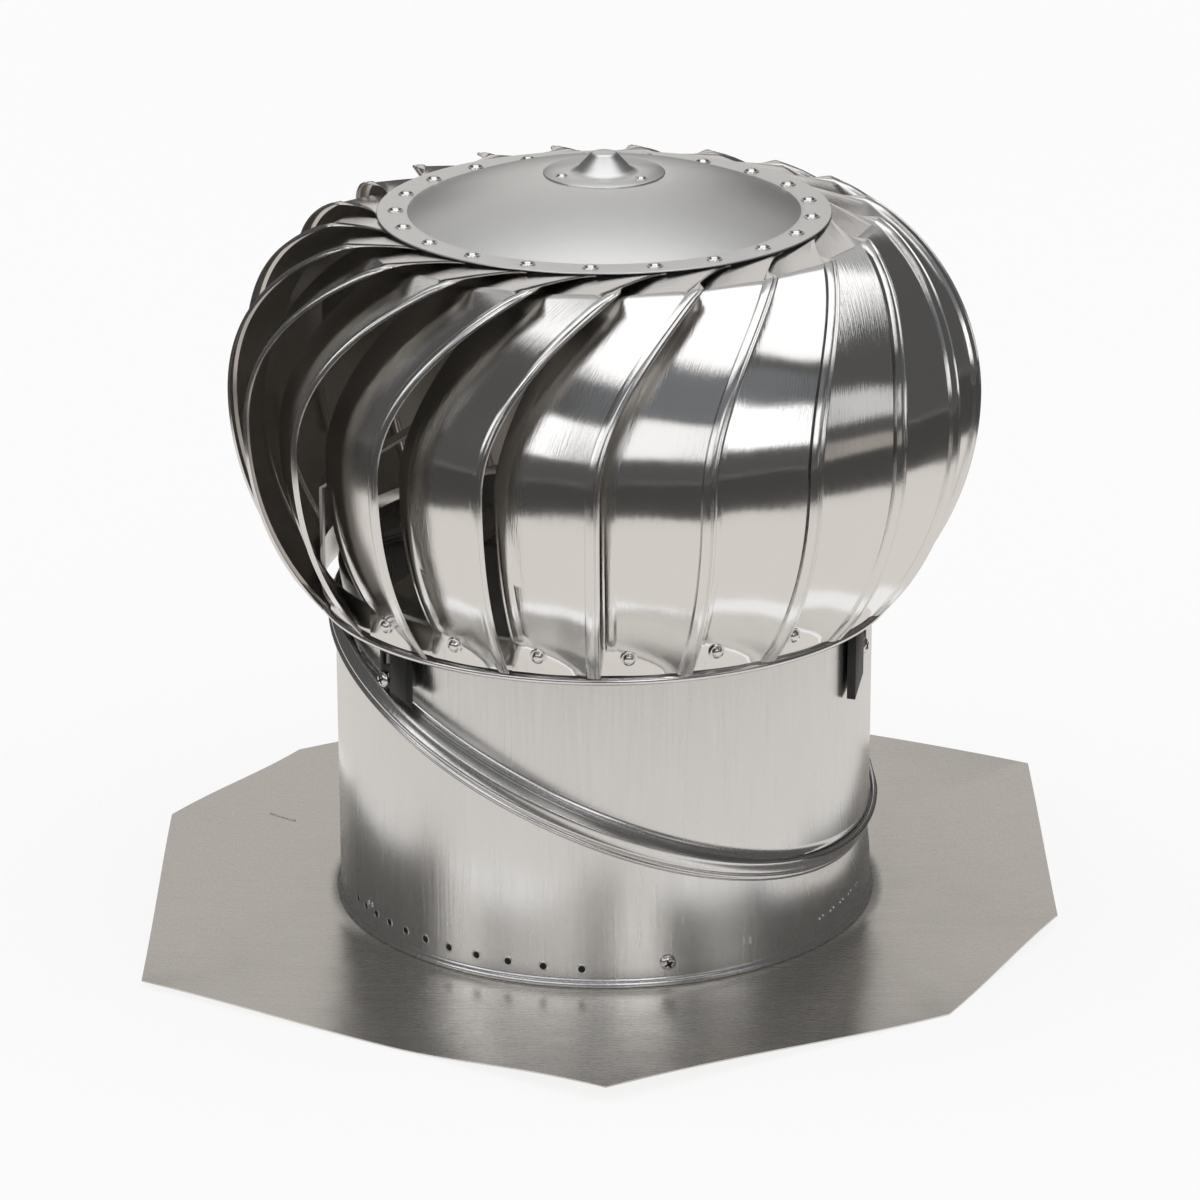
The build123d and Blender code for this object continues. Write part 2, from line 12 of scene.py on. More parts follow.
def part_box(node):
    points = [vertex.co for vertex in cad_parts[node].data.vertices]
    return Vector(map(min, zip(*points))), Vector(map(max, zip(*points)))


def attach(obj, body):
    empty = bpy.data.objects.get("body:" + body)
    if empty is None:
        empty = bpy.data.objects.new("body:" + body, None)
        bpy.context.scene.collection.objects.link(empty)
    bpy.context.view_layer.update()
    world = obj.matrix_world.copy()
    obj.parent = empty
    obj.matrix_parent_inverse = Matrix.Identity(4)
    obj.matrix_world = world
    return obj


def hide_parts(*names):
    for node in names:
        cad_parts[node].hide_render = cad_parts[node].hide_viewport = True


bl_info = {
    "name": "Turbine roof vent",
    "version": (1, 0, 0),
    "blender": (4, 5, 0),
    "location": "3D View > Sidebar > Vent",
    "description": "Dresses the packed vent with formed sheet metal, and sets its studio",
    "category": "Object",
}

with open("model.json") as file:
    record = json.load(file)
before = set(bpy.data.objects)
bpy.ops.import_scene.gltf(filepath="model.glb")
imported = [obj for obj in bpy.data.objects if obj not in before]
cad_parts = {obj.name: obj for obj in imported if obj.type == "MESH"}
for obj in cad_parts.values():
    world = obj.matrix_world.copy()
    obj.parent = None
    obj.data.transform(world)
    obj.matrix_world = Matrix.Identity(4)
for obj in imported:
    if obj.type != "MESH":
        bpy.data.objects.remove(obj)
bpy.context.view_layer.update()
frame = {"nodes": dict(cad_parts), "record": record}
neck_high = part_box("upper_collar")[1]
ring_low, ring_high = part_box("bottom_ring")
plate_low, plate_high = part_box("top_plate")
cap_low, cap_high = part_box("bearing_cap")
blade_names = sorted(name for name in frame["nodes"] if name.startswith("blade_"))
MM = 0.001
MERGE = 1e-6
FULL_TURN = 2 * pi


def length(label, about, default):
    """A size in metres that a user would change."""
    return FloatProperty(
        name=label, description=about, default=default, subtype="DISTANCE", unit="LENGTH", precision=5
    )


def turn(label, about, default):
    """An angle, given here in degrees."""
    return FloatProperty(
        name=label, description=about, default=radians(default), subtype="ANGLE", unit="ROTATION"
    )


def colour(label, about, default):
    """A colour that a user would change."""
    return FloatVectorProperty(
        name=label, description=about, default=default, subtype="COLOR", min=0.0, max=1.0, size=3
    )


def growth(label, about, default):
    """A plain number that says how a size grows."""
    return FloatProperty(name=label, description=about, default=default, precision=4)


class BladeSizes(bpy.types.PropertyGroup):
    """Sizes of one blade and of its place on the head."""

    sheet: length("Sheet", "Thickness of the blade's sheet", 0.7 * MM)
    waist_radius: length("Waist radius", "Outer edge at the waist", 211.7 * MM)
    waist_height: length("Waist height", "Height of the waist", 304.0 * MM)
    lower_arc: length("Lower arc", "Radius of the outline below the waist", 172.0 * MM)
    upper_arc: length("Upper arc", "Radius of the outline above the waist", 114.0 * MM)
    foot_height: length("Foot height", "Height of the blade's lower end", 190.6 * MM)
    fold_sweep: turn("Fold sweep", "Sweep from the waist at which the blade turns over to the plate", 53.0)
    hem_lead: turn("Hem lead", "How much further the outer edge sweeps before it turns over", 7.0)
    outer_turn: turn("Outer turn", "Turn of the outer edge from the rivet at the blade's foot", 11.8)
    outer_curl: growth("Outer curl", "Growth of the outer turn with the square of the sweep", 0.0058)
    inner_turn: turn("Inner turn", "Turn of the inner edge from the rivet at the blade's foot", -5.2)
    inner_curl: growth("Inner curl", "Growth of the inner turn with the sweep", 0.030)
    waist_lap: length("Waist lap", "How far the outer edge stands out past the inner one", 19.5 * MM)
    lap_growth: growth("Lap growth", "Growth of the lap with height", 0.05)
    crown: length("Crown", "Rise of the sheet between its edges", 0.5 * MM)
    hem: length("Hem", "Width of the folded hem on each long edge", 8.6 * MM)
    hem_rise: length("Hem rise", "How far a hem stands out of the sheet", 1.8 * MM)
    foot_seat: length("Foot seat", "Radius at which a blade's foot lies on the ring", 164.6 * MM)
    foot_bend: length("Foot bend", "How far out of the ring the bend of a blade's foot reaches", 6.0 * MM)
    foot_rise: length("Foot rise", "Height above the ring's lower edge over which that bend fades", 110.0 * MM)
    tip_turn: turn("Tip turn", "Turn of the tip that laps over the plate's rim", 45.0)
    tuck: length("Tuck", "How far the blade's top runs in under the plate's rim", 9.0 * MM)
    tuck_drop: length("Tuck drop", "Height of the blade's top below the plate's underside", 0.5 * MM)
    tab_turn: turn("Tab turn", "Turn of the tab's near side", 19.0)
    first_turn: turn("First turn", "Turn of the first blade's lower rivet", -85.5)


class CollarSizes(bpy.types.PropertyGroup):
    """Sizes of the two collars and the slanted seam between them."""

    sheet: length("Sheet", "Thickness of the collars' sheet", 0.8 * MM)
    foot_radius: length("Foot radius", "Outside of the lower collar at its foot", 154.3 * MM)
    skirt: length("Skirt", "Height of the lower collar's straight foot", 22.0 * MM)
    neck_radius: length("Neck radius", "Outside of the neck at its top", 153.2 * MM)
    seam_radius: length("Seam radius", "Outside of the wall at the slanted seam", 165.0 * MM)
    seam_height: length("Seam height", "Height of the seam's centre", 117.7 * MM)
    seam_tilt: turn("Seam tilt", "Slant of the seam", 24.0)
    seam_turn: turn("Seam turn", "Turn of the seam's low side", -19.2)
    flare: length("Flare", "Height over which a wall flares out to the seam", 30.0 * MM)
    segments: IntProperty(name="Segments", description="Steps round a collar", default=240, min=24)


class FlashingSizes(bpy.types.PropertyGroup):
    """Sizes of the flashing."""

    sheet: length("Sheet", "Thickness of the flashing's sheet", 0.8 * MM)
    bore: length("Bore", "Inside radius of the throat", 152.4 * MM)
    upstand: length("Upstand", "Height of the turned-up edge round the throat", 20.0 * MM)
    flat_reach: length("Flat reach", "Distance of every straight edge from the middle", 258.7 * MM)
    clipped_turn: turn("Clipped turn", "Turn of the corner that is cut off", 150.0)
    clear: length("Clear", "Gap that keeps the sheet clear of the deck", 0.02 * MM)
    tick_turn: turn("Tick turn", "Turn of the pressed line near one corner", 155.7)
    tick_from: length("Tick from", "Inner end of the pressed line", 204.0 * MM)
    tick_to: length("Tick to", "Outer end of the pressed line", 221.0 * MM)


class FinishColours(bpy.types.PropertyGroup):
    """Colours of the finishes."""

    blade: colour("Blade", "Bright mill-finish aluminium", (0.87, 0.86, 0.85))
    # Painted shade: the blades' inward faces take a darker, browner copy of the blade metal, for the side that
    # faces away from the light
    inside: colour("Inside", "Dull, unlit side of the blades", (0.72, 0.69, 0.65))
    plate: colour("Plate", "Satin aluminium of the dome", (0.86, 0.86, 0.855))
    collar: colour("Collar", "Upright-brushed aluminium of the collars", (0.84, 0.835, 0.83))
    flashing: colour("Flashing", "Dull aluminium of the flashing", (0.66, 0.635, 0.60))
    bracket: colour("Bracket", "Moulded black of the brackets", (0.012, 0.012, 0.012))
    screw: colour("Screw", "Zinc of the screws", (0.78, 0.77, 0.76))
    steel: colour("Steel", "Turned steel of the shaft", (0.55, 0.55, 0.55))
    bush: colour("Bush", "Pale nylon of the bearings", (0.80, 0.79, 0.74))
    strip: colour("Strip", "Mill-finish strip of the braces", (0.74, 0.73, 0.72))
    # Painted shade: the seam's channel takes darker metal than the collars, standing in for the shade in the
    # crevice between neck and hem
    channel: colour("Channel", "Shaded metal in the channel of the slanted seam", (0.54, 0.52, 0.50))
    shadow: colour("Shadow", "Inside of a punched hole", (0.015, 0.014, 0.013))


class StageSizes(bpy.types.PropertyGroup):
    """The camera and the light."""

    lens: FloatProperty(name="Lens", description="Focal length in millimetres on a 36 mm frame", default=153.66)
    camera_back: length("Camera back", "Distance of the camera in front of the vent's axis", 2.7624)
    camera_height: length("Camera height", "Height of the camera above the flashing", 1.1768)
    camera_tilt: turn("Camera tilt", "How far the camera looks down", 19.94)
    camera_pan: turn("Camera pan", "How far the camera turns to its left", 0.057)
    camera_roll: turn("Camera roll", "Lean of the camera", -0.115)
    floor_size: length("Floor size", "Half the floor's width", 6.0)


def settings():
    """The vent's property groups, as the operators read them."""
    return bpy.context.scene.vent


def polar(radius, angle, height):
    """A point at a radius and an angle about the throat's axis."""
    return Vector((radius * cos(angle), radius * sin(angle), height))


def ease(low, high, value):
    """A smooth step from nought at low to one at high."""
    part = min(max((value - low) / (high - low), 0.0), 1.0)
    return part * part * (3 - 2 * part)


def add_piece(bm, name, material, body, nodes=(), crease=40.0):
    """Makes a finished piece of a bmesh, smooth but for its creases, that rides on a body and stands for nodes."""
    for edge in bm.edges:
        if len(edge.link_faces) == 2 and edge.calc_face_angle(0.0) > radians(crease):
            edge.smooth = False
    for face in bm.faces:
        face.smooth = True
    mesh = bpy.data.meshes.new(name)
    bm.to_mesh(mesh)
    bm.free()
    mesh.materials.append(material)
    piece = bpy.data.objects.new(name, mesh)
    bpy.context.scene.collection.objects.link(piece)
    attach(piece, body)
    if nodes:
        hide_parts(*nodes)
    return piece


def start_row(bm, points, closed=False):
    """Starts a sheet from a row of points and returns the row's edges and the layer that numbers them."""
    across = bm.verts.layers.int.new("across")
    verts = [bm.verts.new(point) for point in points]
    for index, vert in enumerate(verts):
        vert[across] = index
    ends = verts[1:] + verts[:1] if closed else verts[1:]
    return [bm.edges.new(pair) for pair in zip(verts, ends)], across


def grow_row(bm, edges, across, points):
    """Extrudes a row of edges to the next row of points and returns the new row's edges."""
    made = bmesh.ops.extrude_edge_only(bm, edges=edges)["geom"]
    verts = {item for item in made if isinstance(item, bmesh.types.BMVert)}
    for vert in verts:
        vert.co = points[vert[across]]
    return [item for item in made if isinstance(item, bmesh.types.BMEdge) and set(item.verts) <= verts]


def sheet_of_rows(rows, closed=False):
    """A sheet through rows of points, and the layer that numbers its points across."""
    bm = bmesh.new()
    edges, across = start_row(bm, rows[0], closed)
    for points in rows[1:]:
        edges = grow_row(bm, edges, across, points)
    bmesh.ops.recalc_face_normals(bm, faces=bm.faces)
    return bm, across


def thicken(bm, thickness):
    """Gives a sheet its thickness, behind the side that its faces point to."""
    bmesh.ops.solidify(bm, geom=bm.faces[:], thickness=thickness)


def face_outwards(bm):
    """Turns a sheet's faces away from the throat's axis, as most of its area tells."""
    outward = 0.0
    for face in bm.faces:
        face.normal_update()
        middle = face.calc_center_median()
        outward += face.calc_area() * (face.normal.x * middle.x + face.normal.y * middle.y)
    if outward < 0:
        bmesh.ops.reverse_faces(bm, faces=bm.faces[:])


def spin_round(bm, verts, edges, steps):
    """Spins an outline a full turn about the throat's axis."""
    bmesh.ops.spin(
        bm, geom=verts + edges, cent=(0, 0, 0), axis=(0, 0, 1), angle=FULL_TURN, steps=steps, use_merge=True
    )


def lathe(profile, steps, closed=True):
    """Spins an outline of radius and height about the throat's axis into a closed ring or disc."""
    bm = bmesh.new()
    verts = [bm.verts.new((radius, 0.0, height)) for radius, height in profile]
    ends = verts[1:] + verts[:1] if closed else verts[1:]
    edges = [bm.edges.new(pair) for pair in zip(verts, ends)]
    spin_round(bm, verts, edges, steps)
    bmesh.ops.remove_doubles(bm, verts=bm.verts, dist=MERGE)
    bmesh.ops.dissolve_degenerate(bm, edges=bm.edges, dist=MERGE / 10)
    bmesh.ops.recalc_face_normals(bm, faces=bm.faces)
    return bm


def arc_points(centre, radius, start, end, steps):
    """Points on an arc of an outline, from one angle to another in degrees."""
    angles = [radians(start + (end - start) * step / steps) for step in range(steps + 1)]
    return [(centre[0] + radius * cos(angle), centre[1] + radius * sin(angle)) for angle in angles]


def round_edges(bm, edges, offset):
    """Rounds edges by a small bevel."""
    bmesh.ops.bevel(
        bm, geom=edges, offset=offset, segments=2, profile=0.5, affect="EDGES", material=-1, clamp_overlap=True
    )


def copy_of_node(node):
    """A bmesh copy of a CAD node with its loose triangles merged into flat faces."""
    bm = bmesh.new()
    bm.from_mesh(frame["nodes"][node].data)
    bmesh.ops.remove_doubles(bm, verts=bm.verts, dist=MERGE)
    bmesh.ops.dissolve_limit(bm, angle_limit=radians(2), verts=bm.verts, edges=bm.edges)
    return bm


def node_material(name):
    """A new material with its nodes and links."""
    material = bpy.data.materials.new(name)
    material.use_nodes = True
    return material, material.node_tree.nodes, material.node_tree.links


RIPPLE_SCALE = 22.0
SHEET_RIPPLE = 0.7 * MM
BLADE_BRUSH = (190, 70, 1)


def metal(name, base, roughness, stretch, uses_uv=False, wander=0.06, grain=0.02, ripple=0.0, bare=1.0):
    """Brushed metal: fine streaks change its roughness and surface, and wide ripples bend what it mirrors."""
    material, nodes, links = node_material(name)
    shader = nodes["Principled BSDF"]
    shader.inputs["Metallic"].default_value = bare
    shader.inputs["Base Color"].default_value = (*base, 1.0)
    place = nodes.new("ShaderNodeTexCoord")
    mapping = nodes.new("ShaderNodeMapping")
    mapping.inputs["Scale"].default_value = stretch
    streaks = nodes.new("ShaderNodeTexNoise")
    streaks.inputs["Scale"].default_value = 1.0
    streaks.inputs["Detail"].default_value = 4.0
    streaks.inputs["Roughness"].default_value = 0.6
    spread = nodes.new("ShaderNodeMapRange")
    spread.inputs["To Min"].default_value = roughness - wander
    spread.inputs["To Max"].default_value = roughness + wander
    bump = nodes.new("ShaderNodeBump")
    bump.inputs["Strength"].default_value = grain
    bump.inputs["Distance"].default_value = MM
    links.new(place.outputs["UV" if uses_uv else "Object"], mapping.inputs["Vector"])
    links.new(mapping.outputs["Vector"], streaks.inputs["Vector"])
    links.new(streaks.outputs["Fac"], spread.inputs["Value"])
    links.new(spread.outputs["Result"], shader.inputs["Roughness"])
    links.new(streaks.outputs["Fac"], bump.inputs["Height"])
    links.new(bump.outputs["Normal"], shader.inputs["Normal"])
    if ripple:
        waves = nodes.new("ShaderNodeTexNoise")
        waves.inputs["Scale"].default_value = RIPPLE_SCALE
        waves.inputs["Detail"].default_value = 1.0
        swell = nodes.new("ShaderNodeBump")
        swell.inputs["Strength"].default_value = 1.0
        swell.inputs["Distance"].default_value = ripple
        links.new(place.outputs["Object"], waves.inputs["Vector"])
        links.new(waves.outputs["Fac"], swell.inputs["Height"])
        links.new(swell.outputs["Normal"], bump.inputs["Normal"])
    return material


def moulded(name, base, roughness, grain_scale):
    """Moulded plastic with a fine grain."""
    material, nodes, links = node_material(name)
    shader = nodes["Principled BSDF"]
    shader.inputs["Base Color"].default_value = (*base, 1.0)
    shader.inputs["Roughness"].default_value = roughness
    place = nodes.new("ShaderNodeTexCoord")
    grain = nodes.new("ShaderNodeTexNoise")
    grain.inputs["Scale"].default_value = grain_scale
    bump = nodes.new("ShaderNodeBump")
    bump.inputs["Strength"].default_value = 0.1
    bump.inputs["Distance"].default_value = MM
    links.new(place.outputs["Object"], grain.inputs["Vector"])
    links.new(grain.outputs["Fac"], bump.inputs["Height"])
    links.new(bump.outputs["Normal"], shader.inputs["Normal"])
    return material


def blade_edges(sizes, sweep):
    """A blade's outer and inner edge at a sweep in degrees from its waist, before it is turned to its place."""
    arc = sizes.upper_arc if sweep > 0 else sizes.lower_arc
    rise = max(sweep, 0.0)
    height = sizes.waist_height + arc * sin(radians(sweep))
    outer_radius = sizes.waist_radius - arc * (1 - cos(radians(sweep)))
    lap = sizes.waist_lap + sizes.lap_growth * (height - sizes.waist_height)
    inner_radius = outer_radius - lap
    outer = polar(outer_radius, sizes.outer_turn + radians(sizes.outer_curl * rise**2), height)
    inner = polar(inner_radius, sizes.inner_turn + radians(sizes.inner_curl * rise**1.5), height)
    return outer, inner


HEM_SHAPE = (
    (0.0, -0.4), (0.02, 0.3), (0.08, 0.68), (0.15, 0.72), (0.22, 0.4), (0.27, 0.38),
    (0.33, 0.8), (0.40, 0.95), (0.62, 1.02), (0.84, 0.92), (0.92, 0.5), (1.0, 0.0),
)
FLAT_STEPS = 8
BODY_ROWS = 56
END_ROWS = 14
MIDDLE_DROP = 40 * MM


def across_blade(sizes, width, inner_hem, outer_hem):
    """Places across a blade and how far the sheet stands out there: a folded hem along each edge."""
    inner = [(place * sizes.hem, out * sizes.hem_rise * inner_hem) for place, out in HEM_SHAPE]
    outer = []
    for place, out in reversed(HEM_SHAPE):
        outer.append((width - place * sizes.hem, out * sizes.hem_rise * outer_hem))
    flat = []
    for step in range(1, FLAT_STEPS):
        part = step / FLAT_STEPS
        flat.append((sizes.hem + (width - 2 * sizes.hem) * part, sizes.crown * sin(pi * part)))
    return inner + flat + outer


def blade_row(sizes, outer, inner, travel, inner_hem, outer_hem):
    """Points across a blade from its inner to its outer edge, with the foot bent to lie on the bottom ring."""
    along = (outer - inner).normalized()
    outward = travel.cross(along).normalized()
    width = (outer - inner).length
    places = across_blade(sizes, width, inner_hem, outer_hem)
    row = [inner + along * place + outward * out for place, out in places]
    for point in row:
        radius = hypot(point.x, point.y)
        if point.z < sizes.waist_height:
            over = max(radius - sizes.foot_seat, 0.0)
            bent = over - sizes.foot_bend / 2
            if over < sizes.foot_bend:
                bent = over**2 / (2 * sizes.foot_bend)
            part = (point - inner).dot(along) / width
            held = 1 - ease(ring_low.z, ring_low.z + sizes.foot_rise, point.z)
            held *= 1 - ease(0.5, 0.9, part)
            seated = sizes.foot_seat + over + (bent - over) * held
            point.x *= seated / radius
            point.y *= seated / radius
    return row


def blade_rows(sizes):
    """Rows of points up a blade: its bulged body, and its end that runs under and over the plate's rim."""
    foot = -degrees(asin((sizes.waist_height - sizes.foot_height) / sizes.lower_arc))
    fold = degrees(sizes.fold_sweep)
    rows = []
    for step in range(BODY_ROWS + 1):
        sweep = foot + (fold - foot) * step / BODY_ROWS
        lead = degrees(sizes.hem_lead) * ease(0, fold, sweep)
        outer, inner = blade_edges(sizes, sweep + lead)[0], blade_edges(sizes, sweep)[1]
        before = blade_edges(sizes, sweep + lead - 0.5)[0] + blade_edges(sizes, sweep - 0.5)[1]
        after = blade_edges(sizes, sweep + lead + 0.5)[0] + blade_edges(sizes, sweep + 0.5)[1]
        inner_hem = ease(foot + 7, foot + 9, sweep) * (1 - ease(-34, 0, sweep))
        outer_hem = (0.55 + 0.45 * ease(foot, foot + 9, sweep)) * (1 - 0.5 * ease(fold - 5, fold, sweep))
        rows.append(blade_row(sizes, outer, inner, before - after, inner_hem, outer_hem))
    last = rows[-1]
    hem_start = len(last) - len(HEM_SHAPE)
    end_height = plate_low.z - sizes.tuck_drop
    for step in range(1, END_ROWS + 1):
        part = (step / END_ROWS) ** 1.3
        drawn = 1 - (1 - part) ** 1.7
        kept = 1 - 0.92 * ease(0.0, 0.28, part)
        row = []
        for index, begin in enumerate(last):
            start = begin if index <= hem_start else last[hem_start].lerp(begin, kept)
            place = min(index / hem_start, 1.0)
            end_radius = plate_high.x - sizes.tuck * (1 - ease(0.4, 1.0, place))
            end_turn = sizes.tab_turn + (sizes.tip_turn - sizes.tab_turn) * place
            start_turn = atan2(start.y, start.x)
            radius = hypot(start.x, start.y)
            radius += (end_radius - radius) * drawn
            height = start.z + (end_height - start.z) * drawn
            row.append(polar(radius, start_turn + (end_turn - start_turn) * part, height))
        rows.append(row)
    return rows


def brush_map(bm, across, count):
    """Gives a sheet a UV map that runs across it and along it, in metres."""
    uv = bm.loops.layers.uv.new("brush")
    for face in bm.faces:
        for loop in face.loops:
            loop[uv].uv = (loop.vert[across] / count, loop.vert.co.z)


class OBJECT_OT_vent_blades(bpy.types.Operator):
    """Rolls one blade from its edges and sets a copy at every rivet of the head"""

    bl_idname = "object.vent_blades"
    bl_label = "Blades"

    def execute(self, context):
        vent = settings()
        sizes = vent.blade
        finish = metal(
            "blade_aluminium", vent.finish.blade, 0.12, BLADE_BRUSH,
            uses_uv=True, wander=0.05, grain=0.09, ripple=SHEET_RIPPLE,
        )
        # Painted shade: a darker, browner copy of the blade metal for the inward faces, which stand away from the
        # light
        inside = metal("blade_inside_shade", vent.finish.inside, 0.3, BLADE_BRUSH, uses_uv=True)
        rows = blade_rows(sizes)
        pitch = FULL_TURN / len(blade_names)
        for index, name in enumerate(blade_names):
            place = Matrix.Rotation(sizes.first_turn + index * pitch, 4, "Z")
            bm, across = sheet_of_rows(rows)
            face_outwards(bm)
            brush_map(bm, across, len(rows[0]))
            thicken(bm, sizes.sheet)
            middle = Vector((0, 0, sizes.waist_height - MIDDLE_DROP))
            for face in bm.faces:
                face.normal_update()
                face.material_index = 1 if face.normal.dot(face.calc_center_median() - middle) < 0 else 0
            bmesh.ops.transform(bm, matrix=place, verts=bm.verts)
            piece = add_piece(bm, f"{name}_sheet", finish, "rotor", [name], crease=38)
            piece.data.materials.append(inside)
        return {"FINISHED"}


RING_TURN_IN, RING_ROLL, RING_LIP = 4.8 * MM, 2.2 * MM, 3.2 * MM
DOME_EDGE, DOME_PAD, DOME_CURVE, DOME_STEPS = 110.0 * MM, 36.0 * MM, 260.0 * MM, 12
SHAFT_HOLE, RIM_ROUND, RIM_DIP = 6.3 * MM, 0.3 * MM, 0.15 * MM
CAP_BASE, CAP_CREST, CAP_WALL = 17.0 * MM, 7.5 * MM, 1.2 * MM
HEAD_STEPS, CAP_STEPS = 180, 96


class OBJECT_OT_vent_head(bpy.types.Operator):
    """Spins the head's bottom ring, its top plate and the bearing cap"""

    bl_idname = "object.vent_head"
    bl_label = "Ring, plate and cap"

    def execute(self, context):
        vent = settings()
        sheet = vent.collar.sheet
        ring_finish = metal("ring_aluminium", vent.finish.blade, 0.2, (40, 40, 900), wander=0.05, grain=0.03)
        plate_finish = metal("plate_satin", vent.finish.plate, 0.36, (160, 160, 160), wander=0.05, grain=0.05)
        inside = -(ring_low.x + RING_TURN_IN) - sheet
        low = ring_low.z + RING_ROLL
        profile = [(inside, ring_high.z), (inside, low)]
        profile += arc_points((inside + RING_ROLL, low), RING_ROLL, 180, 430, 16)
        profile += [(inside + sheet, low + RING_LIP), (inside + sheet, ring_high.z)]
        ring = lathe(profile, HEAD_STEPS)
        add_piece(ring, "bottom_ring_rolled", ring_finish, "rotor", ["bottom_ring"])
        top, underside, rim = plate_high.z, plate_low.z, plate_high.x
        rim_top = underside + sheet
        rise = top - rim_top
        drop = (DOME_EDGE**2 - DOME_PAD**2) / (2 * DOME_CURVE)
        dome = []
        for step in range(DOME_STEPS + 1):
            reach = DOME_PAD + (DOME_EDGE - DOME_PAD) * step / DOME_STEPS
            dome.append((reach, rim_top + rise * (DOME_EDGE**2 - reach**2) / (2 * DOME_CURVE) / drop))
        foot = DOME_EDGE + 1.5 * MM
        profile = [(SHAFT_HOLE, top), (DOME_PAD - 3 * MM, top), *dome, (foot, rim_top - RIM_DIP)]
        profile += [(DOME_EDGE + 4 * MM, rim_top - RIM_DIP)]
        profile += [(rim - RIM_ROUND, rim_top), (rim, rim_top - RIM_ROUND)]
        profile += [(rim, underside), (foot, underside)]
        profile += [(radius, height - sheet) for radius, height in reversed(dome)]
        profile += [(SHAFT_HOLE, top - sheet)]
        plate = lathe(profile, HEAD_STEPS)
        add_piece(plate, "top_plate_pressed", plate_finish, "rotor", ["top_plate"], crease=12)
        flange, seat, crown = cap_high.x, cap_low.z, cap_high.z
        profile = [(0.0, crown), (CAP_CREST - 1.5 * MM, crown), (CAP_CREST - 0.4 * MM, crown - 0.4 * MM)]
        profile += [(CAP_CREST + 0.3 * MM, crown - CAP_WALL), (CAP_BASE - 2 * MM, seat + 3 * MM)]
        profile += [(CAP_BASE + 0.4 * MM, seat + 1.4 * MM), (CAP_BASE + 3 * MM, seat + sheet)]
        profile += [(flange - RIM_ROUND, seat + sheet), (flange, seat + sheet - RIM_ROUND)]
        profile += [(flange, seat), (CAP_BASE - 1 * MM, seat)]
        profile += [(CAP_CREST - 0.8 * MM, crown - CAP_WALL), (0.0, crown - CAP_WALL)]
        cap = lathe(profile, CAP_STEPS, closed=False)
        add_piece(cap, "bearing_cap_spun", plate_finish, "rotor", ["bearing_cap"], crease=50)
        return {"FINISHED"}


RIVET_SHAPE = (
    (0.0, 1.0), (0.25, 0.97), (0.45, 0.82), (0.60, 0.50), (0.68, 0.16),
    (0.74, 0.08), (0.82, 0.26), (0.92, 0.24), (1.0, -0.25),
)
RIVET_RADIUS, PLATE_RIVET_HEIGHT, RING_RIVET_HEIGHT = 4.7 * MM, 1.8 * MM, 2.2 * MM
PLATE_RIVET_CIRCLE, PLATE_RIVET_LEAD = 116.5 * MM, radians(26.2)
RING_RIVET_RISE, RING_RIVET_OUT, RING_RIVET_DROOP = 15.8 * MM, 1.1 * MM, 0.12
CAP_RIVETS, CAP_RIVET_CIRCLE, CAP_RIVET_TURN = 3, 25.5 * MM, radians(-37)
CAP_RIVET_RADIUS, CAP_RIVET_HEIGHT = 3.8 * MM, 1.5 * MM


def turned_heads(seats, shape, radius, height, steps=28):
    """Heads turned from an outline of radius and height, one on each seat, whose Z stands out of the sheet."""
    bm = bmesh.new()
    for seat in seats:
        verts = [bm.verts.new((part * radius, 0, rise * height)) for part, rise in shape]
        edges = [bm.edges.new(pair) for pair in zip(verts, verts[1:])]
        before = set(bm.verts) - set(verts)
        spin_round(bm, verts, edges, steps)
        made = [vert for vert in bm.verts if vert not in before]
        bmesh.ops.transform(bm, matrix=seat, verts=made)
    bmesh.ops.remove_doubles(bm, verts=bm.verts, dist=MERGE)
    holes = [edge for edge in bm.edges if edge.is_boundary]
    bmesh.ops.holes_fill(bm, edges=holes, sides=0)
    bmesh.ops.recalc_face_normals(bm, faces=bm.faces)
    return bm


def seat_matrix(point, outward):
    """A matrix at a point, with its Z along a direction."""
    return Matrix.Translation(point) @ outward.to_track_quat("Z", "Y").to_matrix().to_4x4()


class OBJECT_OT_vent_rivets(bpy.types.Operator):
    """Sets the domed rivets of the blades, the plate and the cap"""

    bl_idname = "object.vent_rivets"
    bl_label = "Rivets"

    def execute(self, context):
        vent = settings()
        blade = vent.blade
        finish = metal("rivet_aluminium", vent.finish.blade, 0.22, (300, 300, 300), grain=0.02)
        pitch = FULL_TURN / len(blade_names)
        turns = [blade.first_turn + index * pitch for index in range(len(blade_names))]
        up = Vector((0, 0, 1))
        rim_top = plate_low.z + vent.collar.sheet
        flange_top = cap_low.z + vent.collar.sheet
        foot = blade.foot_seat + RING_RIVET_OUT
        plate_seats, ring_seats, cap_seats = [], [], []
        for angle in turns:
            plate_seats.append(seat_matrix(polar(PLATE_RIVET_CIRCLE, angle + PLATE_RIVET_LEAD, rim_top), up))
            outward = polar(1, angle, -RING_RIVET_DROOP)
            ring_seats.append(seat_matrix(polar(foot, angle, ring_low.z + RING_RIVET_RISE), outward))
        for step in range(CAP_RIVETS):
            angle = CAP_RIVET_TURN + FULL_TURN * step / CAP_RIVETS
            cap_seats.append(seat_matrix(polar(CAP_RIVET_CIRCLE, angle, flange_top), up))
        for node, seats, radius, height in (
            ("plate_rivets", plate_seats, RIVET_RADIUS, PLATE_RIVET_HEIGHT),
            ("ring_rivets", ring_seats, RIVET_RADIUS, RING_RIVET_HEIGHT),
            ("cap_rivets", cap_seats, CAP_RIVET_RADIUS, CAP_RIVET_HEIGHT),
        ):
            heads = turned_heads(seats, RIVET_SHAPE, radius, height)
            add_piece(heads, f"{node[:-1]}_heads", finish, "rotor", [node])
        return {"FINISHED"}


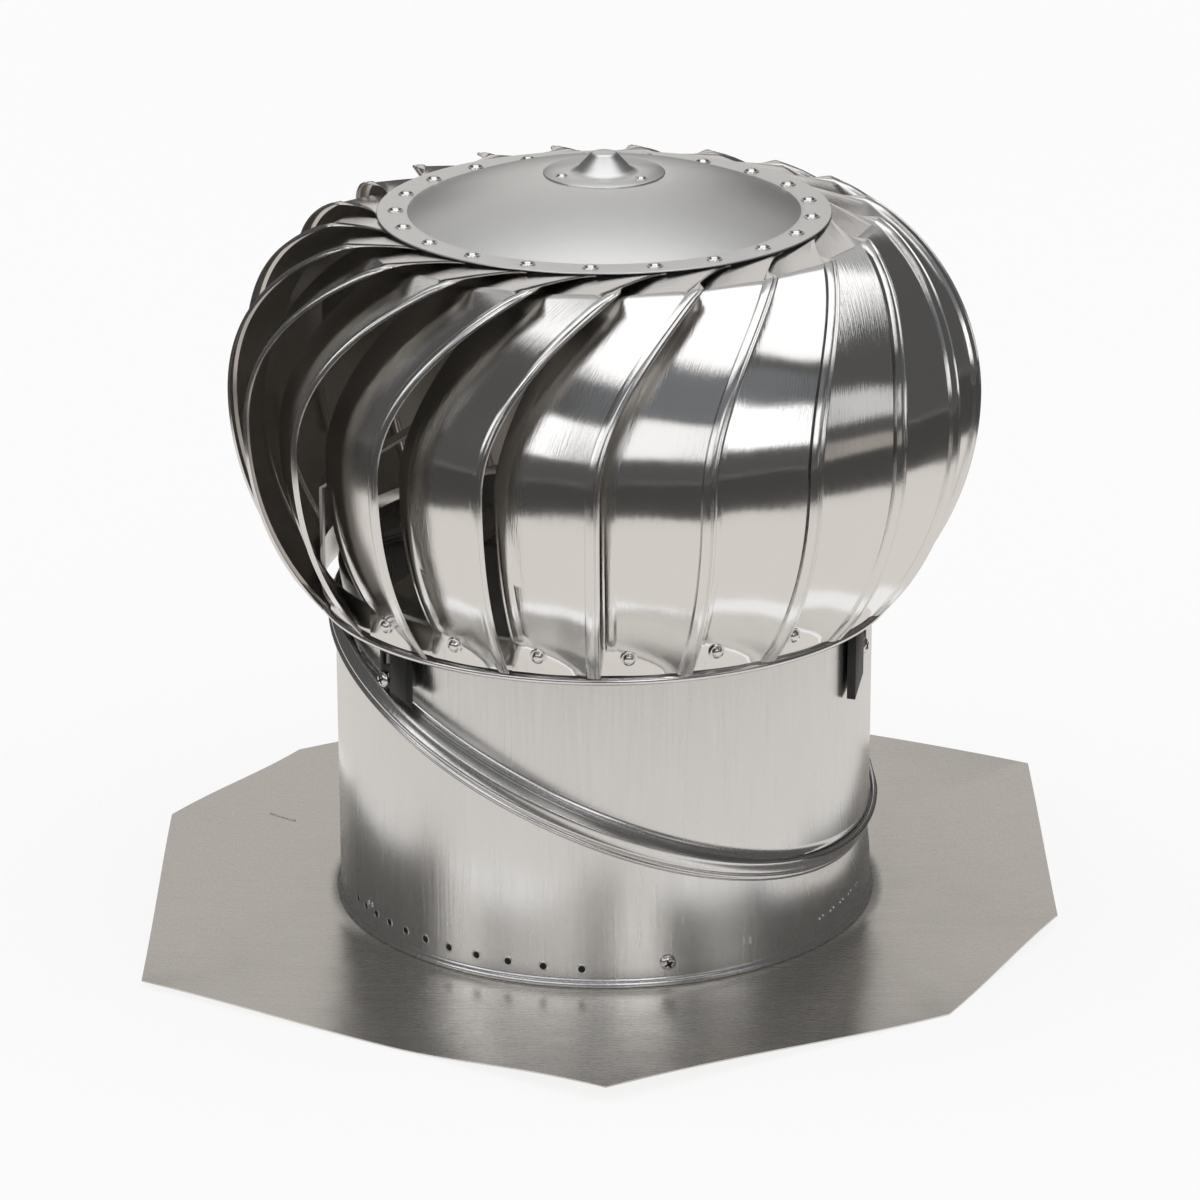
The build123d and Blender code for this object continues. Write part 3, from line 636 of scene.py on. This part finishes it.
def seam_frame(sizes):
    """The seam's centre, its normal, and the two directions that span its plane."""
    low = sizes.seam_turn
    across = Vector((-sin(low), cos(low), 0))
    normal = polar(sin(sizes.seam_tilt), low, cos(sizes.seam_tilt))
    return Vector((0, 0, sizes.seam_height)), normal, across, normal.cross(across)


def seam_ring(sizes, radius, height):
    """A circle about the seam's normal, at a height above the seam's plane."""
    centre, normal, across, beside = seam_frame(sizes)
    angles = [FULL_TURN * step / sizes.segments for step in range(sizes.segments)]
    return [centre + normal * height + (across * cos(angle) + beside * sin(angle)) * radius for angle in angles]


def level_ring(sizes, radius, height):
    """A level circle whose points lie straight above or below those of the seam's circle."""
    seam = seam_ring(sizes, sizes.seam_radius, 0.0)
    return [polar(radius, atan2(point.y, point.x), height) for point in seam]


def wall_rings(sizes, radius, height, edge, steps=12):
    """Rings of a straight wall from a level circle to a slanted edge, with its flare out to that edge."""
    rings = []
    for step in range(steps + 1):
        part = 1 - (1 - step / steps) ** 2
        ring = []
        for end in edge:
            here = height + (end.z - height) * part
            near = 1 - min(abs(end.z - here) / sizes.flare, 1.0)
            end_radius = hypot(end.x, end.y)
            ring.append(polar(radius + (end_radius - radius) * near**2, atan2(end.y, end.x), here))
        rings.append(ring)
    return rings


def wall_edge(sizes, wall, height, limit):
    """Where a straight wall meets a plane beside the seam's, drawn in where it would pass the hem."""
    centre, normal, _, _ = seam_frame(sizes)
    middle = centre + normal * height
    ring = []
    for point in seam_ring(sizes, sizes.seam_radius, height):
        here = polar(wall, atan2(point.y, point.x), 0.0)
        here.z = centre.z + (height - here.dot(normal)) / normal.z
        reach = here - middle
        ring.append(middle + reach * min(1.0, limit / reach.length))
    return ring


def collar_sheet(rings, thickness):
    """A collar through rings of points, with its thickness inside."""
    bm, _ = sheet_of_rows(rings, closed=True)
    face_outwards(bm)
    thicken(bm, thickness)
    return bm


# Outlines of the seam and the foot: out of the wall and up, in millimetres
HEM_PROFILE = (
    (1.6, -7.3), (2.8, -6.9), (3.6, -6.2), (3.9, -5.2), (3.5, -4.3), (3.0, -3.7), (3.0, -3.1), (3.6, -2.6),
    (4.3, -1.9), (4.5, -0.8), (4.2, 0.2), (3.8, 1.0), (3.5, 3.5), (3.3, 5.3), (2.8, 6.0), (1.9, 6.1),
    (1.1, 5.6), (0.9, 4.4),
)
FOOT_PROFILE = ((1.2, 1.0), (2.0, 1.6), (2.3, 2.6), (2.1, 3.6), (1.2, 4.6), (0.2, 5.4), (0, 6.5), (0, 14))
NECK_EDGE = ((0.4, 7.6), (1.3, 6.6), (2.8, 6.0), (4.2, 5.8))
CHANNEL_PROFILE = ((4.2, 6.0), (5.2, 5.5))
NECK_STOP, LOWER_STOP, FLANGE_RISE, CHANNEL_RISE = 9.0 * MM, -7.4 * MM, 4.4 * MM, 5.2 * MM
HEM_ROOM, EDGE_ROOM, LOWER_ROOM, CHANNEL_ROOM = 0.8 * MM, 0.5 * MM, 2.0 * MM, 0.7 * MM
LIP_SHAPE = ((0.62, -0.1), (0.68, 0.22), (0.78, 0.3), (0.9, 0.16), (1.0, 0.0))


class OBJECT_OT_vent_collars(bpy.types.Operator):
    """Rolls the two collars and the hem of the slanted seam between them"""

    bl_idname = "object.vent_collars"
    bl_label = "Collars"

    def execute(self, context):
        vent = settings()
        sizes = vent.collar
        finish = metal("collar_brushed", vent.finish.collar, 0.25, (480, 480, 22), wander=0.08, grain=0.08)
        # Painted shade: the channel sheet is real, but its darker metal stands in for the shade in the seam's
        # crevice
        channel = metal("seam_channel_shade", vent.finish.channel, 0.3, (300, 300, 300))
        neck, foot, seam = sizes.neck_radius, sizes.foot_radius, sizes.seam_radius
        limit = seam - HEM_ROOM
        rings = wall_rings(sizes, neck, neck_high.z, wall_edge(sizes, neck, NECK_STOP, limit))
        for out, height in NECK_EDGE:
            rings.append(wall_edge(sizes, neck + out * MM, height * MM, limit + EDGE_ROOM))
        rings.append(seam_ring(sizes, seam, FLANGE_RISE))
        sheet = collar_sheet(rings, sizes.sheet)
        add_piece(sheet, "neck_rolled", finish, "neck", ["upper_collar"], crease=50)
        rings = []
        for out, height in CHANNEL_PROFILE:
            rings.append(wall_edge(sizes, neck + out * MM, height * MM, limit + out * MM))
        rings.append(seam_ring(sizes, seam + CHANNEL_ROOM, CHANNEL_RISE))
        sheet = collar_sheet(rings, sizes.sheet)
        add_piece(sheet, "seam_channel_shade", channel, "neck", crease=50)
        rings = [level_ring(sizes, foot + out * MM, height * MM) for out, height in FOOT_PROFILE]
        rings += wall_rings(sizes, foot, sizes.skirt, wall_edge(sizes, foot, LOWER_STOP, limit + LOWER_ROOM))
        rings += [seam_ring(sizes, seam + out * MM, height * MM) for out, height in HEM_PROFILE]
        sheet = collar_sheet(rings, sizes.sheet)
        add_piece(sheet, "lower_collar_rolled", finish, "base", ["lower_collar"], crease=50)
        return {"FINISHED"}


HOLE_FLOOR_SHAPE = ((0, 1), (0.9, 1), (1, 0))
MARK_SHAPE = ((0, -0.1), (0.5, 0.1), (0.75, 0.9), (1, 0))
PITCH_HOLES = 11
LIP_RADIUS, LIP_HEIGHT = 3.0 * MM, 1.0 * MM
HOLE_RADIUS, HOLE_HEIGHT = 2.0 * MM, 0.12 * MM
MARK_RADIUS, MARK_HEIGHT = 0.85 * MM, 0.4 * MM


def wall_seats(sizes, places):
    """Seats on the lower collar's foot, each at a turn in degrees and a height."""
    seats = []
    for angle, height in places:
        outward = polar(1, radians(angle), 0)
        seats.append(seat_matrix(polar(sizes.foot_radius, radians(angle), height), outward))
    return seats


class OBJECT_OT_vent_punches(bpy.types.Operator):
    """Punches the row of pitch holes, and the marks beside them, in the lower collar's foot"""

    bl_idname = "object.vent_punches"
    bl_label = "Pitch holes and marks"

    def execute(self, context):
        vent = settings()
        sizes = vent.collar
        dark = moulded("hole_shadow", vent.finish.shadow, 0.9, 300)
        bright = metal("punch_lip", vent.finish.collar, 0.25, (300, 300, 300))
        holes = []
        for step in range(PITCH_HOLES):
            holes.append((-156.4 + 4.0 * step + 0.215 * step**2, (15.8 - 0.38 * step) * MM))
        marks = [(-38.1 + 4.1 * step, (16.8 + 1.1 * step) * MM) for step in range(5)]
        marks += [(turned + 1.2, height + 0.9 * MM) for turned, height in marks]
        marks += [(-59.8 + 1.5 * side, (18.2 + 1.5 * rise) * MM) for side in range(2) for rise in range(3)]
        marks += [(-150.8 + 1.5 * side, (18.0 + 1.5 * rise) * MM) for side in range(2) for rise in range(2)]
        hole_seats = wall_seats(sizes, holes)
        mark_seats = wall_seats(sizes, marks)
        lips = turned_heads(hole_seats, LIP_SHAPE, LIP_RADIUS, LIP_HEIGHT, steps=24)
        add_piece(lips, "pitch_hole_lips", bright, "base")
        floors = turned_heads(hole_seats, HOLE_FLOOR_SHAPE, HOLE_RADIUS, HOLE_HEIGHT, steps=24)
        add_piece(floors, "pitch_hole_shadows", dark, "base")
        dots = turned_heads(mark_seats, MARK_SHAPE, MARK_RADIUS, MARK_HEIGHT, steps=12)
        add_piece(dots, "pitch_marks", bright, "base")
        return {"FINISHED"}


def flashing_reach(sizes, angle):
    """Distance from the middle to the flashing's edge in a direction."""
    normals = [radians(60 * step) for step in range(6)] + [sizes.clipped_turn, sizes.clipped_turn + pi]
    return min(sizes.flat_reach / cos(angle - normal) for normal in normals if cos(angle - normal) > 0.1)


# Directions in degrees, and how far the edge has sprung up there in millimetres
CORNER_LIFTS = (
    (30, 13), (90, 5), (135, 7), (165, 13), (210, 3), (243, 0), (270, 8), (315, 0), (345, 7), (390, 13),
)
THROAT_BEND = 1.5 * MM
FLASHING_SEGMENTS, FLASHING_STEPS = 240, 12
TICK_WIDTH, TICK_HEIGHT, TICK_ROUND = 1.6 * MM, 0.9 * MM, 0.35 * MM


def flashing_lift(angle):
    """How far the sheet's edge has sprung up in a direction, in millimetres."""
    here = degrees(angle) % 360
    here = here + 360 if here < CORNER_LIFTS[0][0] else here
    for (before, low), (after, high) in zip(CORNER_LIFTS, CORNER_LIFTS[1:]):
        if before <= here <= after:
            return low + (high - low) * ease(before, after, here)
    raise ValueError("a direction outside the corners' turn")


def flashing_height(sizes, radius, angle):
    """Height of the flashing's top at a radius in a direction."""
    root = sizes.bore + sizes.sheet + THROAT_BEND
    part = (radius - root) / (flashing_reach(sizes, angle) - root)
    return sizes.sheet + sizes.clear + flashing_lift(angle) * MM * part**2


class OBJECT_OT_vent_flashing(bpy.types.Operator):
    """Forms the flashing: its turned-up throat, and a flat that has sprung up a little at its corners"""

    bl_idname = "object.vent_flashing"
    bl_label = "Flashing"

    def execute(self, context):
        vent = settings()
        sizes = vent.flashing
        finish = metal(
            "flashing_dull", vent.finish.flashing, 0.27, (14, 420, 420),
            wander=0.05, grain=0.02, ripple=SHEET_RIPPLE, bare=0.93,
        )
        angles = [FULL_TURN * step / FLASHING_SEGMENTS for step in range(FLASHING_SEGMENTS)]
        middle = sizes.bore + sizes.sheet
        rings = []
        for height in (sizes.upstand, sizes.upstand / 2, 2 * sizes.sheet):
            rings.append([polar(middle, angle, height) for angle in angles])
        root = middle + THROAT_BEND
        rings.append([polar(root, angle, sizes.sheet + sizes.clear) for angle in angles])
        for step in range(1, FLASHING_STEPS + 1):
            part = step / FLASHING_STEPS
            ring = []
            for angle in angles:
                radius = root + (flashing_reach(sizes, angle) - root) * part
                ring.append(polar(radius, angle, flashing_height(sizes, radius, angle)))
            rings.append(ring)
        bm, _ = sheet_of_rows(rings, closed=True)
        bm.faces.ensure_lookup_table()
        if bm.faces[-1].normal.z < 0:
            bmesh.ops.reverse_faces(bm, faces=bm.faces[:])
        thicken(bm, sizes.sheet)
        nodes = ["flashing", "throat_ring"]
        add_piece(bm, "flashing_sheet", finish, "base", nodes, crease=35)
        ends = []
        for reach in (sizes.tick_from, sizes.tick_to):
            ends.append(polar(reach, sizes.tick_turn, flashing_height(sizes, reach, sizes.tick_turn)))
        along = ends[1] - ends[0]
        place = Matrix.Translation(sum(ends, Vector()) / 2) @ along.to_track_quat("X", "Z").to_matrix().to_4x4()
        shape = Matrix.Diagonal((along.length, TICK_WIDTH, TICK_HEIGHT, 1))
        bm = bmesh.new()
        bmesh.ops.create_cube(bm, size=1.0, matrix=place @ shape)
        round_edges(bm, bm.edges[:], TICK_ROUND)
        add_piece(bm, "flashing_tick", finish, "base")
        return {"FINISHED"}


BRACKET_ROUND = 0.5 * MM
SHARP = radians(40)


class OBJECT_OT_vent_brackets(bpy.types.Operator):
    """Softens the edges of the moulded brackets"""

    bl_idname = "object.vent_brackets"
    bl_label = "Brackets"

    def execute(self, context):
        vent = settings()
        finish = moulded("bracket_black", vent.finish.bracket, 0.42, 900)
        for name in sorted(frame["nodes"]):
            if name.startswith("bracket_") and name != "bracket_screws":
                bm = copy_of_node(name)
                sharp = [edge for edge in bm.edges if edge.is_manifold and edge.calc_face_angle(0.0) > SHARP]
                round_edges(bm, sharp, BRACKET_ROUND)
                bmesh.ops.recalc_face_normals(bm, faces=bm.faces)
                add_piece(bm, f"{name}_moulded", finish, "neck", [name])
        return {"FINISHED"}


SCREW_SHAPE = (
    (0, 0.72), (0.2, 0.74), (0.28, 0.98), (0.5, 0.94), (0.72, 0.78), (0.9, 0.46), (0.98, 0.12), (1.0, -0.1),
)
SCREW_RADIUS, SCREW_HEIGHT, SCREW_SEAT = 4.7 * MM, 2.3 * MM, 2.0 * MM
SCREW_REACH, SCREW_FACE = 8 * MM, 0.6 * MM
RECESS_SIZE, RECESS_RISE, RECESS_TURN = (5.0 * MM, 1.15 * MM, 0.5 * MM, 1), 2.05 * MM, 28
LOCK_TURN, BRACKET_TURNS = -77, (219, 339, 99)


def screw_seat(node, angle):
    """The seat under the head of a CAD screw that points outwards at a turn in degrees."""
    outward = polar(1, radians(angle), 0)
    beside = polar(1, radians(angle + 90), 0)
    points = [vert.co for vert in frame["nodes"][node].data.vertices]
    near = [point for point in points if abs(point.dot(beside)) < SCREW_REACH and point.dot(outward) > 0]
    top = max(point.dot(outward) for point in near)
    face = [point for point in near if point.dot(outward) > top - SCREW_FACE]
    return seat_matrix(sum(face, Vector()) / len(face) - outward * SCREW_SEAT, outward)


class OBJECT_OT_vent_screws(bpy.types.Operator):
    """Turns the pan heads of the lock screw and the bracket screws, each with a cross recess"""

    bl_idname = "object.vent_screws"
    bl_label = "Screws"

    def execute(self, context):
        vent = settings()
        finish = metal("screw_bright", vent.finish.screw, 0.2, (400, 400, 400))
        dark = moulded("recess_shadow", vent.finish.shadow, 0.9, 300)
        lock = [screw_seat("lock_screw", LOCK_TURN)]
        brackets = [screw_seat("bracket_screws", angle) for angle in BRACKET_TURNS]
        for name, seats, body in (("lock_screw", lock, "base"), ("bracket_screws", brackets, "neck")):
            heads = turned_heads(seats, SCREW_SHAPE, SCREW_RADIUS, SCREW_HEIGHT, steps=32)
            add_piece(heads, f"{name}_heads", finish, body, [name])
            bm = bmesh.new()
            for seat in seats:
                for quarter in range(2):
                    turned = Matrix.Rotation(radians(RECESS_TURN + 90 * quarter), 4, "Z")
                    place = seat @ Matrix.Translation((0, 0, RECESS_RISE)) @ turned
                    bmesh.ops.create_cube(bm, size=1.0, matrix=place @ Matrix.Diagonal(RECESS_SIZE))
            add_piece(bm, f"{name}_recesses", dark, body)
        return {"FINISHED"}


class OBJECT_OT_vent_bracing(bpy.types.Operator):
    """Gives the braces, bearings, shaft and screws their finishes"""

    bl_idname = "object.vent_bracing"
    bl_label = "Bracing and fasteners"

    def execute(self, context):
        colours = settings().finish
        finishes = {
            "brace_strip": metal("strip_aluminium", colours.strip, 0.3, (200, 200, 40)),
            "shaft_steel": metal("shaft_turned", colours.steel, 0.28, (60, 60, 900)),
            "bearing_bush": moulded("bush_nylon", colours.bush, 0.5, 700),
            "screw_zinc": metal("screw_zinc", colours.screw, 0.22, (400, 400, 400)),
        }
        slots = {entry["node"]: entry["material_slot"] for entry in frame["record"]["subparts"]}
        for name, node in frame["nodes"].items():
            if slots[name] in finishes:
                node.data.materials.clear()
                node.data.materials.append(finishes[slots[name]])
        return {"FINISHED"}


def plain_glow(name, tone):
    """Even light of one tone, as a card, a wall or a softbox gives it."""
    material, nodes, links = node_material(name)
    nodes.remove(nodes["Principled BSDF"])
    glow = nodes.new("ShaderNodeEmission")
    glow.inputs["Color"].default_value = (*tone, 1)
    links.new(glow.outputs["Emission"], nodes["Material Output"].inputs["Surface"])
    return material


def stage_piece(bm, name, material, seen=False, lights=True):
    """Sets a piece of the studio, which the camera sees only where that is asked for."""
    mesh = bpy.data.meshes.new(name)
    bm.to_mesh(mesh)
    bm.free()
    mesh.materials.append(material)
    piece = bpy.data.objects.new(name, mesh)
    piece.visible_camera = seen
    piece.visible_diffuse = lights
    piece.visible_shadow = lights
    bpy.context.scene.collection.objects.link(piece)


CARD_AIM = 0.3
WHITE_SHARE = 0.8


def card(name, azimuth, elevation, reach, size, tone, lights):
    """A flat card that faces the vent's waist from a direction in degrees."""
    middle = Vector((0, 0, CARD_AIM))
    flat = reach * cos(radians(elevation))
    place = middle + polar(flat, radians(azimuth), reach * sin(radians(elevation)))
    facing = (middle - place).to_track_quat("Z", "Y").to_matrix().to_4x4()
    bm = bmesh.new()
    bmesh.ops.create_grid(bm, x_segments=1, y_segments=1, size=0.5)
    bmesh.ops.scale(bm, vec=(size[0], size[1], 1), verts=bm.verts)
    bmesh.ops.transform(bm, matrix=Matrix.Translation(place) @ facing, verts=bm.verts)
    stage_piece(bm, name, plain_glow(name, tone), lights=lights)


def floor_ring(name, inner, outer, height, tone):
    """A flat ring on the floor round the vent."""
    bm = bmesh.new()
    bmesh.ops.create_circle(bm, segments=96, radius=inner, matrix=Matrix.Translation((0, 0, height)))
    made = bmesh.ops.extrude_edge_only(bm, edges=bm.edges[:])["geom"]
    rim = [item for item in made if isinstance(item, bmesh.types.BMVert)]
    bmesh.ops.scale(bm, vec=(outer / inner, outer / inner, 1), verts=rim)
    bmesh.ops.recalc_face_normals(bm, faces=bm.faces)
    stage_piece(bm, name, plain_glow(name, tone), lights=False)


def backed_white(name, shade):
    """Nearly white to the camera and in reflections, and a plain pale colour to the light."""
    material, nodes, links = node_material(name)
    nodes.remove(nodes["Principled BSDF"])
    output = nodes["Material Output"]
    paint = nodes.new("ShaderNodeBsdfDiffuse")
    paint.inputs["Color"].default_value = (shade, shade, shade, 1)
    glow = nodes.new("ShaderNodeEmission")
    glow.inputs["Strength"].default_value = 1.0
    rays = nodes.new("ShaderNodeLightPath")
    seen = nodes.new("ShaderNodeMath")
    seen.operation = "MAXIMUM"
    passed = nodes.new("ShaderNodeMath")
    passed.operation = "MAXIMUM"
    mix = nodes.new("ShaderNodeMixShader")
    hold = nodes.new("ShaderNodeMath")
    hold.operation = "MULTIPLY"
    hold.inputs[1].default_value = WHITE_SHARE
    links.new(rays.outputs["Is Camera Ray"], seen.inputs[0])
    links.new(rays.outputs["Is Glossy Ray"], seen.inputs[1])
    links.new(seen.outputs["Value"], passed.inputs[0])
    links.new(rays.outputs["Is Transmission Ray"], passed.inputs[1])
    links.new(passed.outputs["Value"], hold.inputs[0])
    links.new(hold.outputs["Value"], mix.inputs["Fac"])
    links.new(paint.outputs["BSDF"], mix.inputs[1])
    links.new(glow.outputs["Emission"], mix.inputs[2])
    links.new(mix.outputs["Shader"], output.inputs["Surface"])
    return material


# Cards: name, azimuth, elevation, reach, width and height, tone, and whether they light plain surfaces
CARDS = (
    ("softbox_left", -150, 21, 2.6, (0.95, 0.98), (1.3, 1.3, 1.3), True),
    ("softbox_middle", -116, 22.5, 2.7, (1.75, 1.05), (1.05, 1.05, 1.05), True),
    ("softbox_right", -76, 25, 2.6, (1.0, 1.2), (1.4, 1.4, 1.4), True),
    ("wall_right", -38, 22, 2.8, (1.0, 0.8), (0.62, 0.62, 0.62), True),
    ("wall_low_right", -40, -8, 2.9, (0.9, 1.2), (0.36, 0.33, 0.30), False),
    ("ceiling_front", -105, 50, 3.2, (3.6, 1.6), (0.165, 0.172, 0.182), True),
    ("softbox_over", 90, 88, 2.2, (2.9, 2.1), (1.2, 1.2, 1.2), True),
    ("wall_back", 91, 23, 3.0, (1.05, 1.8), (0.65, 0.63, 0.61), True),
    ("wall_back_left", 112, 30, 3.0, (0.9, 0.7), (0.62, 0.61, 0.59), True),
    ("wall_back_right", 69, 30, 3.0, (0.9, 0.7), (0.4, 0.39, 0.38), True),
    ("ceiling_back", 90, 52, 3.2, (3.0, 1.2), (0.44, 0.44, 0.44), True),
)
FLOOR_DROP, CARD_DROP = -0.6 * MM, -0.4 * MM
ROOM_RADIUS, ROOM_TONE = 4.0, (0.084, 0.083, 0.082)
# Painted shade: a dark disc on the floor inside the throat stands in for the shade that the vent casts there
OPENING_RADIUS, OPENING_SHADE_TONE = 0.152, (0.012, 0.011, 0.010)
FLOOR_SHADE = 0.95


class OBJECT_OT_vent_stage(bpy.types.Operator):
    """Lays the floor, hangs the cards and sets the camera"""

    bl_idname = "object.vent_stage"
    bl_label = "Stage"

    def execute(self, context):
        scene = context.scene
        sizes = settings().stage
        scene.view_settings.view_transform = "Standard"
        bm = bmesh.new()
        level = Matrix.Translation((0, 0, FLOOR_DROP))
        bmesh.ops.create_grid(bm, x_segments=1, y_segments=1, size=sizes.floor_size, matrix=level)
        stage_piece(bm, "floor", backed_white("floor_white", FLOOR_SHADE), seen=True)
        bm = bmesh.new()
        bmesh.ops.create_uvsphere(bm, u_segments=48, v_segments=24, radius=ROOM_RADIUS)
        bmesh.ops.reverse_faces(bm, faces=bm.faces[:])
        stage_piece(bm, "dim_room", plain_glow("dim_room", ROOM_TONE), lights=False)
        floor_ring("pale_floor", 0.302, 0.84, CARD_DROP, (0.72, 0.69, 0.655))
        floor_ring("dark_floor", 0.84, 3.9, CARD_DROP, (0.06, 0.058, 0.056))
        for name, azimuth, elevation, reach, size, tone, lights in CARDS:
            card(name, azimuth, elevation, reach, size, tone, lights)
        # Painted shade: a dark disc in the throat's opening, seen only in reflections, stands in for the shade on
        # the floor under the vent
        bm = bmesh.new()
        level = Matrix.Translation((0, 0, CARD_DROP))
        bmesh.ops.create_circle(bm, cap_ends=True, segments=64, radius=OPENING_RADIUS, matrix=level)
        stage_piece(bm, "opening_shade", plain_glow("opening_shade", OPENING_SHADE_TONE), lights=False)
        world = bpy.data.worlds.new("studio")
        world.use_nodes = True
        backdrop = world.node_tree.nodes["Background"]
        backdrop.inputs["Color"].default_value = (1, 1, 1, 1)
        backdrop.inputs["Strength"].default_value = 1.0
        world.cycles.sampling_method = "NONE"
        scene.world = world
        lens = bpy.data.cameras.new("photo_camera")
        lens.lens = sizes.lens
        lens.sensor_width = 36.0
        lens.clip_end = 50.0
        camera = bpy.data.objects.new("photo_camera", lens)
        turned = Matrix.Rotation(sizes.camera_pan, 4, "Z") @ Matrix.Rotation(pi / 2 - sizes.camera_tilt, 4, "X")
        turned = turned @ Matrix.Rotation(sizes.camera_roll, 4, "Z")
        camera.matrix_world = Matrix.Translation((0, -sizes.camera_back, sizes.camera_height)) @ turned
        scene.collection.objects.link(camera)
        scene.camera = camera
        return {"FINISHED"}


class VentSettings(bpy.types.PropertyGroup):
    """All of the vent's settings."""

    blade: PointerProperty(type=BladeSizes, name="Blades", description="Sizes of the blades")
    collar: PointerProperty(type=CollarSizes, name="Collars", description="Sizes of the collars")
    flashing: PointerProperty(type=FlashingSizes, name="Flashing", description="Sizes of the flashing")
    finish: PointerProperty(type=FinishColours, name="Finishes", description="Colours of the finishes")
    stage: PointerProperty(type=StageSizes, name="Stage", description="Camera and light")


class VIEW3D_PT_vent(bpy.types.Panel):
    """Lists the vent's pieces"""

    bl_label = "Turbine roof vent"
    bl_idname = "VIEW3D_PT_vent"
    bl_space_type = "VIEW_3D"
    bl_region_type = "UI"
    bl_category = "Vent"

    def draw(self, context):
        for operator in OPERATORS:
            self.layout.operator(operator.bl_idname)


GROUPS = (BladeSizes, CollarSizes, FlashingSizes, FinishColours, StageSizes, VentSettings)
OPERATORS = (
    OBJECT_OT_vent_flashing,
    OBJECT_OT_vent_collars,
    OBJECT_OT_vent_punches,
    OBJECT_OT_vent_brackets,
    OBJECT_OT_vent_screws,
    OBJECT_OT_vent_head,
    OBJECT_OT_vent_blades,
    OBJECT_OT_vent_rivets,
    OBJECT_OT_vent_bracing,
    OBJECT_OT_vent_stage,
)


def register():
    """Registers the vent's classes and its settings."""
    for group in (*GROUPS, *OPERATORS, VIEW3D_PT_vent):
        bpy.utils.register_class(group)
    bpy.types.Scene.vent = PointerProperty(type=VentSettings, name="Vent", description="Settings of the vent")


def unregister():
    """Takes the vent's classes and settings away."""
    del bpy.types.Scene.vent
    for group in reversed((*GROUPS, *OPERATORS, VIEW3D_PT_vent)):
        bpy.utils.unregister_class(group)


def main():
    """Builds every piece in order."""
    register()
    bpy.ops.object.vent_flashing()
    bpy.ops.object.vent_collars()
    bpy.ops.object.vent_punches()
    bpy.ops.object.vent_brackets()
    bpy.ops.object.vent_screws()
    bpy.ops.object.vent_head()
    bpy.ops.object.vent_blades()
    bpy.ops.object.vent_rivets()
    bpy.ops.object.vent_bracing()
    bpy.ops.object.vent_stage()


if __name__ == "__main__":
    main()
